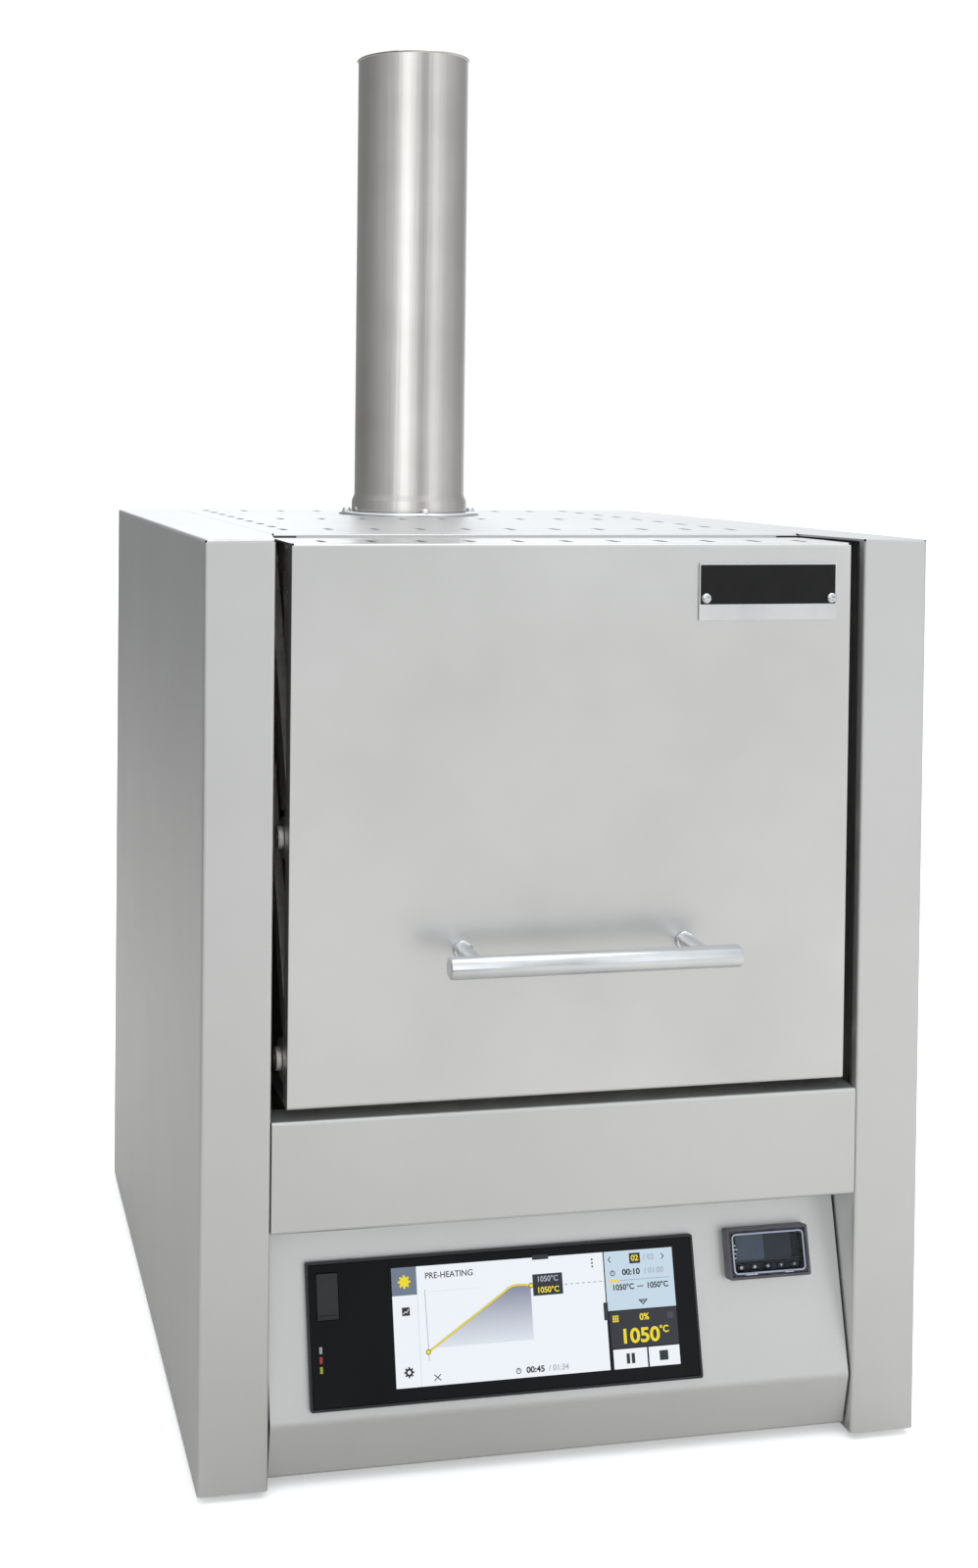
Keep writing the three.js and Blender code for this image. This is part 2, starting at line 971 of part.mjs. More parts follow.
function exhaustFlange() {
  const base = casing.height + gap;
  const face = base + exhaust.flangeThickness;
  const collarOuter = exhaust.tubeRadius - exhaust.tubeWall - gap;
  const collarInner = collarOuter - exhaust.tubeWall;
  const edge = exhaust.flangeThickness / 2;
  const collarTop = casing.height + exhaust.collarHeight;
  const ring = turnedRing([
    [collarInner, base],
    [exhaust.flangeRadius, base],
    [exhaust.flangeRadius, base + edge],
    [exhaust.flangeRadius - edge, face],
    [collarOuter, face],
    [collarOuter, collarTop],
    [collarInner, collarTop],
  ]);
  const mesh = piece("exhaust_flange", ring, material.satinSteel);
  mesh.position.y = exhaustY;
  return mesh;
}

function exhaustTube() {
  const base = casing.height + exhaust.flangeThickness + 2 * gap;
  const top = casing.height + exhaust.height;
  const wall = exhaust.tubeWall;
  const ring = turnedRing([
    [bellRadius - wall, base],
    [bellRadius, base],
    [bellRadius, bellTop],
    [exhaust.tubeRadius, coneTop],
    [exhaust.tubeRadius, top - 2 * exhaust.rimRoll],
    [exhaust.tubeRadius + exhaust.rimRoll, top - exhaust.rimRoll],
    [exhaust.tubeRadius, top],
    [exhaust.tubeRadius - wall, top],
    [exhaust.tubeRadius - wall, coneTop - wall],
    [bellRadius - wall, bellTop - wall],
  ]);
  const mesh = piece("exhaust_tube", ring, material.stackSteel);
  mesh.position.y = exhaustY;
  return mesh;
}

// Control nose: a folded panel whose upper face leans back, with the controller and the limiter in it.
// On that face u runs along x, v runs up from the crease and w stands out of it.

function onNose(mesh) {
  mesh.position.set(0, nose.creaseY, nose.creaseZ);
  mesh.rotation.x = Math.PI / 2 - lean;
  return mesh;
}

function noseCut(u0, u1, v0, v1, w0, w1) {
  const geometry = new THREE.BoxGeometry(u1 - u0, v1 - v0, w1 - w0);
  geometry.translate((u0 + u1) / 2, (v0 + v1) / 2, (w0 + w1) / 2);
  geometry.rotateX(Math.PI / 2 - lean);
  geometry.translate(0, nose.creaseY, nose.creaseZ);
  return solidOf(geometry);
}

function controlPanel() {
  const section = foldedShape([
    [nose.bottomY + nose.bottomFlange, nose.bottomZ],
    [nose.bottomY, nose.bottomZ],
    [nose.creaseY, nose.creaseZ],
    [nose.topY, nose.topZ],
    [nose.topY + nose.topFlange, nose.topZ],
  ]);
  const panel = prismX(section, -noseHalf, noseHalf);
  const controllerInset = controller.bodyInset - gap;
  const controllerHole = noseCut(
    controllerLeft + controllerInset,
    controllerRight - controllerInset,
    controllerLow + controllerInset,
    controllerHigh - controllerInset,
    -overrun,
    overrun,
  );
  const limiterInset = limiter.bodyInset - gap;
  const limiterHole = noseCut(
    limiterLeft + limiterInset,
    limiterLeft + limiter.width - limiterInset,
    limiterLow + limiterInset,
    limiterLow + limiter.height - limiterInset,
    -overrun,
    overrun,
  );
  return piece("control_panel", cut(panel, [controllerHole, limiterHole]), material.texturedSteel);
}

function controllerHousing() {
  const inset = controller.bodyInset;
  const face = prismZ(
    roundedRectangle(
      controllerLeft,
      controllerRight,
      controllerLow,
      controllerHigh,
      controller.rim,
    ),
    gap,
    controller.proud,
  );
  const body = box(
    controllerLeft + inset,
    controllerRight - inset,
    controllerLow + inset,
    controllerHigh - inset,
    -controller.bodyDepth,
    controller.proud / 2,
  );
  const pocket = box(
    controllerLeft + controller.rim,
    controllerRight - controller.rim,
    controllerLow + controller.rim,
    controllerHigh - controller.rim,
    controller.proud - controller.glassThickness - gap,
    controller.proud + overrun,
  );
  const housing = face.add(body).subtract(pocket).subtract(usbPocket());
  return onNose(piece("controller_housing", housing, material.blackPlastic));
}

// The well behind the flap, which stays within the housing's body.
function usbPocket() {
  const left = Math.max(usbLeft, controllerLeft + controller.bodyInset) + usb.socketWall;
  return box(
    left - gap,
    usbRight - usb.socketWall + gap,
    usbLow + usb.socketWall - gap,
    usbHigh - usb.socketWall + gap,
    usbPocketFloor,
    controller.proud + overrun,
  );
}

function controllerGlass() {
  const edge = controller.rim + gap;
  const plate = box(
    controllerLeft + edge,
    controllerRight - edge,
    controllerLow + edge,
    controllerHigh - edge,
    controller.proud - controller.glassThickness,
    controller.proud,
  );
  const window = box(
    usbLeft - gap,
    usbRight + gap,
    usbLow - gap,
    usbHigh + gap,
    -overrun,
    controller.proud + overrun,
  );
  return onNose(piece("controller_glass", plate.subtract(window), material.glass));
}

function usbSocket() {
  const left = Math.max(usbLeft, controllerLeft + controller.bodyInset) + usb.socketWall;
  const right = usbRight - usb.socketWall;
  const top = controller.proud - controller.glassThickness - 2 * gap;
  const block = box(
    left,
    right,
    usbLow + usb.socketWall,
    usbHigh - usb.socketWall,
    usbPocketFloor + gap,
    top,
  );
  const middleU = (left + right) / 2;
  const middleV = (usbLow + usbHigh) / 2;
  const port = box(
    middleU - usb.portWidth / 2,
    middleU + usb.portWidth / 2,
    middleV - usb.portHeight / 2,
    middleV + usb.portHeight / 2,
    top - usb.portDepth,
    top + overrun,
  );
  return onNose(piece("usb_socket", block.subtract(port), material.zincSteel));
}

// The flap turns about its upper edge, which is round for that.
function usbFlap() {
  const back = controller.proud - controller.glassThickness;
  const face = back + usb.flapThickness;
  const round = usb.flapThickness / 2;
  const section = new THREE.Shape();
  section.moveTo(usbLow, back);
  section.lineTo(usbHigh - round, back);
  section.absarc(usbHigh - round, back + round, round, -Math.PI / 2, Math.PI / 2, false);
  section.lineTo(usbLow, face);
  const plate = prismX(section, usbLeft, usbRight);
  const lip = box(
    usbLeft + usb.lipHeight,
    usbRight - usb.lipHeight,
    usbLow + usb.lipDepth,
    usbLow + usb.lipDepth + usb.lipHeight,
    back + round,
    face + usb.lipDepth,
  );
  return onNose(piece("usb_flap", plate.add(lip), material.blackPlastic));
}

function limiterHousing() {
  const round = limiter.wall / 2;
  const face = prismZ(
    roundedRectangle(limiterLeft, limiterRight, limiterLow, limiterHigh, round),
    gap,
    limiter.proud,
  );
  const inset = limiter.bodyInset;
  const body = box(
    limiterLeft + inset,
    limiterRight - inset,
    limiterLow + inset,
    limiterHigh - inset,
    -limiter.bodyDepth,
    limiter.proud / 4,
  );
  const well = prismZ(
    roundedRectangle(
      limiterLeft + limiter.wall,
      limiterRight - limiter.wall,
      limiterLow + limiter.wall,
      limiterHigh - limiter.wall,
      round,
    ),
    limiter.proud - limiter.well,
    limiter.proud + overrun,
  );
  const coverSeat = box(
    limiterLeft + limiter.coverInset - gap,
    limiterRight - limiter.coverInset + gap,
    limiterLow + limiter.coverInset - gap,
    limiterHigh - limiter.coverInset + gap,
    limiter.proud - limiter.coverThickness - gap,
    limiter.proud + overrun,
  );
  const housing = cut(face.add(body), [well, coverSeat]);
  return onNose(piece("limiter_housing", housing, material.greyPlastic));
}

const displayBack = limiter.proud - limiter.well + gap;
const displayFace = displayBack + limiter.displayThickness;
const limiterMiddle = limiterLeft + limiter.width / 2;
const keyLow = limiterLow + limiter.wall + limiter.keyRow - limiter.keyHeight;

function keyHole(offset, margin, w0, w1) {
  const u = limiterMiddle + offset;
  return box(
    u - limiter.keyWidth / 2 - margin,
    u + limiter.keyWidth / 2 + margin,
    keyLow - margin,
    keyLow + limiter.keyHeight + margin,
    w0,
    w1,
  );
}

function limiterDisplay() {
  const edge = limiter.wall + gap;
  const plate = prismZ(
    roundedRectangle(
      limiterLeft + edge,
      limiterRight - edge,
      limiterLow + edge,
      limiterHigh - edge,
      limiter.wall / 2,
    ),
    displayBack,
    displayFace,
  );
  const holes = evenly(limiter.keys, limiter.keyPitch).map((offset) =>
    keyHole(offset, gap, displayBack - overrun, displayFace + overrun),
  );
  return onNose(piece("limiter_display", cut(plate, holes), material.darkWindow));
}

function limiterKeys() {
  return evenly(limiter.keys, limiter.keyPitch).map((offset, i) => {
    const top = displayBack + limiter.keyThickness + gap;
    const key = keyHole(offset, 0, top - limiter.keyThickness, top);
    return onNose(piece("limiter_key_" + (i + 1), key, material.blackPlastic));
  });
}

function limiterCover() {
  const inset = limiter.coverInset;
  const low = limiterLow + inset;
  const high = limiterHigh - inset;
  const plate = prismZ(
    roundedRectangle(limiterLeft + inset, limiterRight - inset, low, high, inset / 2),
    limiter.proud - limiter.coverThickness,
    limiter.proud,
  );
  const tabs = [-1, 1].map((side) => {
    const u = limiterMiddle + (side * limiter.width) / 4;
    return box(
      u - limiter.keyWidth / 2,
      u + limiter.keyWidth / 2,
      low + gap,
      low + gap + inset,
      limiter.proud - limiter.coverThickness / 2,
      limiter.proud + limiter.coverThickness / 2,
    );
  });
  return onNose(piece("limiter_cover", joined([plate, ...tabs]), material.clear));
}

// Door: a folded slotted front, an inner tray, the fibre plug and the bar handle.

function doorCover() {
  const half = doorHalf;
  const section = foldedShape([
    [door.flange, doorBottom],
    [0, doorBottom],
    [0, doorTop],
    [door.flange, doorTop],
  ]);
  const front = prismX(section, -half, half);
  const pinRows = [upperPinZ, lowerPinZ];
  const cheeks = [-1, 1].flatMap((side) => {
    const x0 = Math.min(side * half, side * (half - sheet.thickness));
    const x1 = x0 + sheet.thickness;
    const low = doorBottom + sheet.thickness / 2;
    const high = doorTop - sheet.thickness / 2;
    const flange = box(x0, x1, sheet.thickness / 2, door.sideFlange, low, high);
    return [flange, ...pinRows.map((z) => pinLug(z, x0, x1))];
  });
  const slots = spread(slot.columns, door.slotMargin - half, half - door.slotMargin).flatMap((x) => [
    slotZ(x, door.slotLine, doorTop - sheet.thickness, doorTop),
    slotZ(x, door.slotLine, doorBottom, doorBottom + sheet.thickness),
  ]);
  const reach = half + overrun;
  const pinHoles = pinRows.map((z) =>
    rodX(doorPinY, z, lift.pinRadius + gap, -reach, reach, roundSteps / 2),
  );
  const shell = joined([front, ...cheeks]);
  return piece("door_cover", cut(shell, [...slots, ...pinHoles]), material.texturedSteel);
}

// A round lug that carries a pivot behind the side flange of the door.
function pinLug(z, x0, x1) {
  const radius = door.lugRadius;
  const tongue = box(x0, x1, sheet.thickness / 2, doorPinY, z - radius, z + radius);
  return tongue.add(rodX(doorPinY, z, radius, x0, x1, roundSteps / 2));
}

function doorTray() {
  const low = doorBottom + sheet.thickness + gap;
  const high = doorTop - sheet.thickness - gap;
  const section = foldedShape([
    [door.flange, low],
    [door.trayFace, low],
    [door.trayFace, high],
    [door.flange, high],
  ]);
  const half = trayHalf;
  return piece("door_tray", prismX(section, -half, half), material.insideSteel);
}

function doorPlug() {
  const front = door.trayFace + sheet.thickness + gap;
  const half = plugHalf;
  const bottom = doorBottom + door.plugRise;
  const top = chamberRoof + door.plugLap;
  const back = collarFront - door.plugGap;
  const cham = door.plugChamfer;
  const section = outline([
    [front, bottom],
    [back - cham, bottom],
    [back, bottom + cham],
    [back, top - cham],
    [back - cham, top],
    [front, top],
  ]);
  return piece("door_insulation", prismX(section, -half, half), material.fibre);
}

function doorPins() {
  const rows = [
    ["upper", upperPinZ],
    ["lower", lowerPinZ],
  ];
  const flangeFace = -doorHalf - gap;
  const armEnd = -armInner + 2 * gap;
  return rows.flatMap(([row, z]) => {
    const shank = rodX(doorPinY, z, lift.pinRadius, flangeFace - gap, armEnd, smallSteps);
    const head = rodX(
      doorPinY,
      z,
      lift.headRadius,
      flangeFace - lift.headThickness,
      flangeFace,
      smallSteps,
    );
    const socket = rodX(
      doorPinY,
      z,
      lift.hexSocket,
      flangeFace - lift.headThickness - overrun,
      flangeFace - lift.headThickness + lift.socketDepth,
      hexSides,
    );
    const spacer = rodX(
      doorPinY,
      z,
      lift.headRadius,
      -doorHalf + sheet.thickness + gap,
      -armInner - lift.armThickness - gap,
      smallSteps,
    );
    const solid = joined([shank, head, spacer]).subtract(socket);
    const left = piece("door_pin_" + row + "_left", solid, material.zincSteel);
    return [left, mirrored("door_pin_" + row + "_right", left)];
  });
}

function namePlate() {
  const sheetPlate = prismY(
    roundedRectangle(
      plateRight - nameplate.width,
      plateRight,
      plateTop - nameplate.height,
      plateTop,
      nameplate.thickness,
    ),
    -gap - nameplate.thickness,
    -gap,
  );
  return piece("name_plate", sheetPlate, material.satinSteel);
}

function handleBar() {
  const half = handle.length / 2;
  const bar = turned([
    [0, -half],
    [handle.radius - handle.chamfer, -half],
    [handle.radius, handle.chamfer - half],
    [handle.radius, half - handle.chamfer],
    [handle.radius - handle.chamfer, half],
    [0, half],
  ]);
  const mesh = piece("handle_bar", bar, material.satinSteel);
  mesh.rotation.y = Math.PI / 2;
  mesh.position.set(0, -handle.stand, handleZ);
  return mesh;
}

function handleStandoffs() {
  const length = handle.stand - handle.radius - 2 * gap;
  const post = rodZ(0, 0, handle.standoffRadius, 0, length, roundSteps / 2);
  return [-1, 1].map((side) => {
    const name = side < 0 ? "handle_standoff_left" : "handle_standoff_right";
    const mesh = piece(name, post, material.satinSteel);
    mesh.rotation.x = Math.PI / 2;
    mesh.position.set(side * (handle.length / 2 - handle.standoffInset), -gap, handleZ);
    return mesh;
  });
}

// Lift linkage: two pairs of equal arms keep the door upright on its way up.

// A flat bar with a round eye at each end, lying along y from its first eye.
function armShape() {
  const half = lift.armWidth / 2;
  const start = Math.asin(half / lift.eyeRadius);
  const shape = new THREE.Shape();
  shape.absarc(0, 0, lift.eyeRadius, start, 2 * Math.PI - start, false);
  shape.absarc(armLength, 0, lift.eyeRadius, Math.PI + start, 3 * Math.PI - start, false);
  shape.closePath();
  return shape;
}

function arm(name, pivotZ, pivotRadius) {
  const steps = smallSteps;
  const x0 = -armOuter;
  const x1 = -armInner;
  const bar = prismX(armShape(), x0, x1);
  const pivotBore = rodX(0, 0, pivotRadius + lift.bore, x0 - overrun, x1 + overrun, steps);
  const pinBore = rodX(
    armLength,
    0,
    lift.pinRadius + lift.bore,
    x0 - overrun,
    x1 + overrun,
    steps,
  );
  const mesh = piece(name + "_left", cut(bar, [pivotBore, pinBore]), material.zincSteel);
  mesh.rotation.x = Math.atan2(-reachZ, -reachY);
  mesh.position.set(0, shaftY, pivotZ);
  const twin = mirrored(name + "_right", mesh);
  twin.rotation.copy(mesh.rotation);
  twin.position.copy(mesh.position);
  return [mesh, twin];
}

function liftShaft() {
  const half = armOuter + gap;
  const cham = gap * 2;
  const rod = turned(
    [
      [0, -half],
      [lift.shaftRadius - cham, -half],
      [lift.shaftRadius, cham - half],
      [lift.shaftRadius, half - cham],
      [lift.shaftRadius - cham, half],
      [0, half],
    ],
    smallSteps,
  );
  const mesh = piece("lift_shaft", rod, material.zincSteel);
  mesh.rotation.y = Math.PI / 2;
  mesh.position.set(0, shaftY, shaftZ);
  return mesh;
}

// Bearing plates on the hot box carry the shaft, and a welded stud carries each lower arm.
function liftBrackets() {
  const inner = hotHalf + gap;
  const outer = inner + bracket.thickness;
  const plate = prismX(
    roundedRectangle(
      shaftY - bracket.halfDepth,
      shaftY + bracket.halfDepth,
      lowerPivotZ - bracket.underPivot,
      shaftZ + bracket.overShaft,
      bracket.corner,
    ),
    -outer,
    -inner,
  );
  const steps = smallSteps;
  const shaftHole = rodX(
    shaftY,
    shaftZ,
    lift.shaftRadius + lift.bore,
    -outer - overrun,
    -inner + overrun,
    steps,
  );
  const middleZ = (lowerPivotZ + shaftZ) / 2;
  const pitch = (shaftZ - lowerPivotZ) / (bracket.holes + 1);
  const lightening = evenly(bracket.holes, pitch).map((offset) =>
    rodX(
      shaftY,
      middleZ + offset,
      pitch * bracket.holeShare,
      -outer - overrun,
      -inner + overrun,
      steps,
    ),
  );
  const studEnd = -armOuter - gap;
  const stud = rodX(
    shaftY,
    lowerPivotZ,
    lift.pinRadius,
    studEnd - gap,
    -outer + gap,
    steps,
  );
  const studHead = rodX(
    shaftY,
    lowerPivotZ,
    lift.headRadius,
    studEnd - lift.headThickness,
    studEnd,
    steps,
  );
  const solid = cut(plate, [shaftHole, ...lightening]).add(stud).add(studHead);
  const left = piece("lift_bracket_left", solid, material.zincSteel);
  return [left, mirrored("lift_bracket_right", left)];
}

// Power entry at the rear: an appliance inlet with its rocker switch.

function powerInlet() {
  const back = casing.depth + gap;
  const face = prismY(
    roundedRectangle(
      inletX - inlet.halfWidth,
      inletX + inlet.halfWidth,
      inlet.z + inlet.low,
      inlet.z + inlet.high,
      inlet.bodyInset,
    ),
    back,
    casing.depth + inlet.proud,
  );
  const inset = inlet.bodyInset;
  const body = box(
    inletX - inlet.halfWidth + inset,
    inletX + inlet.halfWidth - inset,
    casing.depth - inlet.bodyDepth,
    casing.depth + inlet.proud / 2,
    inlet.z + inlet.low + inset,
    inlet.z + inlet.high - inset,
  );
  const recessFloor = casing.depth + inlet.proud - inlet.recessDepth;
  const recess = prismY(
    outline([
      [inletX - inlet.recessHalfWidth, inlet.z + inlet.recessLow],
      [inletX + inlet.recessHalfWidth, inlet.z + inlet.recessLow],
      [inletX + inlet.recessHalfWidth, inlet.z + inlet.recessHigh - inlet.recessCorner],
      [inletX + inlet.recessHalfWidth - inlet.recessCorner, inlet.z + inlet.recessHigh],
      [inletX - inlet.recessHalfWidth + inlet.recessCorner, inlet.z + inlet.recessHigh],
      [inletX - inlet.recessHalfWidth, inlet.z + inlet.recessHigh - inlet.recessCorner],
    ]),
    recessFloor,
    back + overrun,
  );
  const bladeZ = inlet.z + (inlet.recessLow + inlet.recessHigh) / 2;
  const blades = evenly(inlet.blades, inlet.bladePitch).map((offset) =>
    box(
      inletX + offset - inlet.bladeThickness / 2,
      inletX + offset + inlet.bladeThickness / 2,
      recessFloor - inlet.bladeThickness,
      recessFloor + inlet.bladeLength,
      bladeZ - inlet.bladeWidth / 2,
      bladeZ + inlet.bladeWidth / 2,
    ),
  );
  const switchWell = box(
    inletX - inlet.switchHalfWidth,
    inletX + inlet.switchHalfWidth,
    casing.depth + inlet.proud - inlet.switchDepth,
    back + overrun,
    inlet.z + inlet.switchLow,
    inlet.z + inlet.switchHigh,
  );
  const housing = cut(face.add(body), [recess, switchWell]);
  return piece("power_inlet", joined([housing, ...blades]), material.blackPlastic);
}

function powerSwitch() {
  const low = inlet.z + inlet.switchLow + rocker.clearance;
  const high = inlet.z + inlet.switchHigh - rocker.clearance;
  const middle = (low + high) / 2;
  const face = casing.depth + inlet.proud - gap;
  const axleY = face - rocker.axleInset;
  const radius = rocker.axleInset;
  const half = inlet.switchHalfWidth - rocker.clearance;
  const shape = new THREE.Shape();
  shape.moveTo(axleY, middle - radius);
  shape.lineTo(face - rocker.rise, low);
  shape.quadraticCurveTo(face - rocker.rise, middle, face, high);
  shape.lineTo(face - rocker.rise, high);
  shape.lineTo(axleY, middle + radius);
  shape.absarc(axleY, middle, radius, Math.PI / 2, (3 * Math.PI) / 2, false);
  return piece("power_switch", prismX(shape, inletX - half, inletX + half), material.blackPlastic);
}

// Assembly

const furnace = new THREE.Group();
furnace.name = "ashing_furnace";
furnace.position.y = frontPlane;

const leftPanel = sidePanel();

furnace.add(
  leftPanel,
  mirrored("right_side_panel", leftPanel),
  topCover(),
  rearPanel(),
  basePlate(),
  ...feet(),
  frontBand(),
  crossMember("front_cross_member", hotFront + member.frontInset),
  crossMember("rear_cross_member", hotBack - member.rearInset),
);

furnace.add(
  innerCasing(),
  collar(),
  ...insulation(),
  ...heatingPlates(),
  hearthPlate(),
  thermocoupleProbe(),
);

furnace.add(exhaustDuct(), exhaustFlange(), exhaustTube());

furnace.add(
  controlPanel(),
  controllerHousing(),
  controllerGlass(),
  usbSocket(),
  usbFlap(),
  limiterHousing(),
  limiterDisplay(),
  ...limiterKeys(),
  limiterCover(),
);

furnace.add(
  doorCover(),
  doorTray(),
  doorPlug(),
  namePlate(),
  ...doorPins(),
  handleBar(),
  ...handleStandoffs(),
);

furnace.add(
  liftShaft(),
  ...liftBrackets(),
  ...arm("upper_arm", shaftZ, lift.shaftRadius),
  ...arm("lower_arm", lowerPivotZ, lift.pinRadius),
);

furnace.add(powerInlet(), powerSwitch());

const model = new THREE.Group();
model.add(furnace);

export default model;
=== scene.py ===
"""A bench ashing furnace with a lifting door: the looks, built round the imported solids."""

import math

import bpy
from mathutils import Matrix, Vector


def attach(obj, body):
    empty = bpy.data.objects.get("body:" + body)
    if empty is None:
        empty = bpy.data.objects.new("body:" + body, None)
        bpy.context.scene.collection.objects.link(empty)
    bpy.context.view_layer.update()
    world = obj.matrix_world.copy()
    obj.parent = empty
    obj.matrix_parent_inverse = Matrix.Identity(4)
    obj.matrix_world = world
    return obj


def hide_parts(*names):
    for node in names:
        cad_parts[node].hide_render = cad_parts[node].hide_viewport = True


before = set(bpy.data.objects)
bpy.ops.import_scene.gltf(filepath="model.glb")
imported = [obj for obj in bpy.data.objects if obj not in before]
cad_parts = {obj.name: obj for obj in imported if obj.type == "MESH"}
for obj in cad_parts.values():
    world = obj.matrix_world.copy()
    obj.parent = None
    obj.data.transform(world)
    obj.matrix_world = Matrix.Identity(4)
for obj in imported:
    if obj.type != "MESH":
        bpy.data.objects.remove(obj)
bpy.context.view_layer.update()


# Camera, floor, background and lights.
# The eye stands left of the middle at the height of the roof, with a rising front as on a view
# camera, and the studio is white behind and darker on the left.
MM = 0.001
EYE = (-0.3495, -1.17275, 0.565)
YAW, PITCH, ROLL = 10.81, -1.30, -0.51


def linear(hex_code):
    """A colour of the screen, such as #F8FCFF, as linear red, green, blue and 1."""
    channels = [int(hex_code[i : i + 2], 16) / 255 for i in (1, 3, 5)]
    return tuple(
        c / 12.92 if c <= 0.04045 else ((c + 0.055) / 1.055) ** 2.4 for c in channels
    ) + (1.0,)


def add_node(tree, kind, settings=None, inputs=None):
    """A shader node. Each of its inputs is given a value, or the output that feeds it."""
    node = tree.nodes.new(kind)
    for key, value in (settings or {}).items():
        setattr(node, key, value)
    for key, value in (inputs or {}).items():
        if isinstance(value, bpy.types.NodeSocket):
            tree.links.new(value, node.inputs[key])
        else:
            node.inputs[key].default_value = value
    return node


def set_camera():
    data = bpy.data.cameras.new("photo_camera")
    data.lens = 42.5
    data.sensor_width = 36.0
    data.shift_x = 0.131
    data.shift_y = -0.189
    data.clip_start = 0.01
    camera = bpy.data.objects.new("photo_camera", data)
    bpy.context.scene.collection.objects.link(camera)
    level = Matrix.Rotation(math.radians(90), 4, "X")
    turn = Matrix.Rotation(math.radians(-YAW), 4, "Z")
    tip = Matrix.Rotation(math.radians(PITCH), 4, "X")
    lean = Matrix.Rotation(math.radians(-ROLL), 4, "Z")
    camera.matrix_world = Matrix.Translation(EYE) @ turn @ level @ tip @ lean
    bpy.context.scene.camera = camera


# The studio as it goes round: degrees from the front towards the right, and brightness.
STUDIO = (
    (-180, 1.24), (-176, 0.36), (-160, 0.31), (-125, 0.30), (-100, 0.40), (-75, 0.62),
    (-60, 0.72), (-46, 0.96), (-36, 1.50), (-28, 1.92), (-18, 1.75), (-5, 1.15), (9, 0.52),
    (20, 0.88), (33, 1.44), (47, 1.10), (62, 0.80), (85, 0.66), (115, 0.42), (140, 0.60),
    (156, 1.30), (166, 1.75), (174, 2.00), (180, 0.92),
)
STUDIO_GAIN = 2.0
OVERHEAD = 0.55
BACKDROP = 1.08


def studio_background():
    world = bpy.data.worlds.new("studio")
    bpy.context.scene.world = world
    world.use_nodes = True
    tree = world.node_tree
    tree.nodes.clear()
    way = add_node(tree, "ShaderNodeTexCoord").outputs["Generated"]
    parts = add_node(tree, "ShaderNodeSeparateXYZ", inputs={"Vector": way})
    ahead = add_node(
        tree, "ShaderNodeMath", {"operation": "MULTIPLY"}, {0: parts.outputs["Y"], 1: -1.0}
    )
    angle = add_node(
        tree,
        "ShaderNodeMath",
        {"operation": "ARCTAN2"},
        {0: parts.outputs["X"], 1: ahead.outputs["Value"]},
    )
    turn = add_node(
        tree,
        "ShaderNodeMapRange",
        inputs={"Value": angle.outputs["Value"], "From Min": -math.pi, "From Max": math.pi},
    )
    around = add_node(tree, "ShaderNodeValToRGB", inputs={"Fac": turn.outputs["Result"]})
    around.color_ramp.interpolation = "B_SPLINE"
    stops = around.color_ramp.elements
    for degrees, brightness in STUDIO[1:-1]:
        stop = stops.new((degrees + 180) / 360)
        stop.color = [brightness / STUDIO_GAIN] * 3 + [1.0]
    for end in (0, -1):
        stops[end].color = [STUDIO[end][1] / STUDIO_GAIN] * 3 + [1.0]
    up = add_node(
        tree,
        "ShaderNodeMapRange",
        {"interpolation_type": "SMOOTHSTEP"},
        {"Value": parts.outputs["Z"], "From Min": 0.25, "From Max": 0.9},
    )
    whole = add_node(
        tree,
        "ShaderNodeMix",
        {"data_type": "FLOAT"},
        {0: up.outputs["Result"], 2: around.outputs["Color"], 3: OVERHEAD},
    )
    gained = add_node(
        tree, "ShaderNodeMath", {"operation": "MULTIPLY"}, {0: whole.outputs[0], 1: STUDIO_GAIN}
    )
    seen = add_node(tree, "ShaderNodeLightPath")
    strength = add_node(
        tree,
        "ShaderNodeMix",
        {"data_type": "FLOAT"},
        {0: seen.outputs["Is Camera Ray"], 2: gained.outputs["Value"], 3: BACKDROP},
    )
    shade = add_node(
        tree,
        "ShaderNodeBackground",
        inputs={"Color": linear("#F8FCFF"), "Strength": strength.outputs[0]},
    )
    add_node(tree, "ShaderNodeOutputWorld", inputs={"Surface": shade.outputs["Background"]})
    bpy.context.scene.view_settings.view_transform = "Standard"


def soft_light(name, place, target, size, watts):
    data = bpy.data.lights.new(name, "AREA")
    data.shape = "RECTANGLE"
    data.size, data.size_y = size
    data.energy = watts
    lamp = bpy.data.objects.new(name, data)
    bpy.context.scene.collection.objects.link(lamp)
    lamp.location = place
    aim = Vector(target) - Vector(place)
    lamp.rotation_euler = aim.to_track_quat("-Z", "Y").to_euler()


FLOOR_GLOW = 0.36


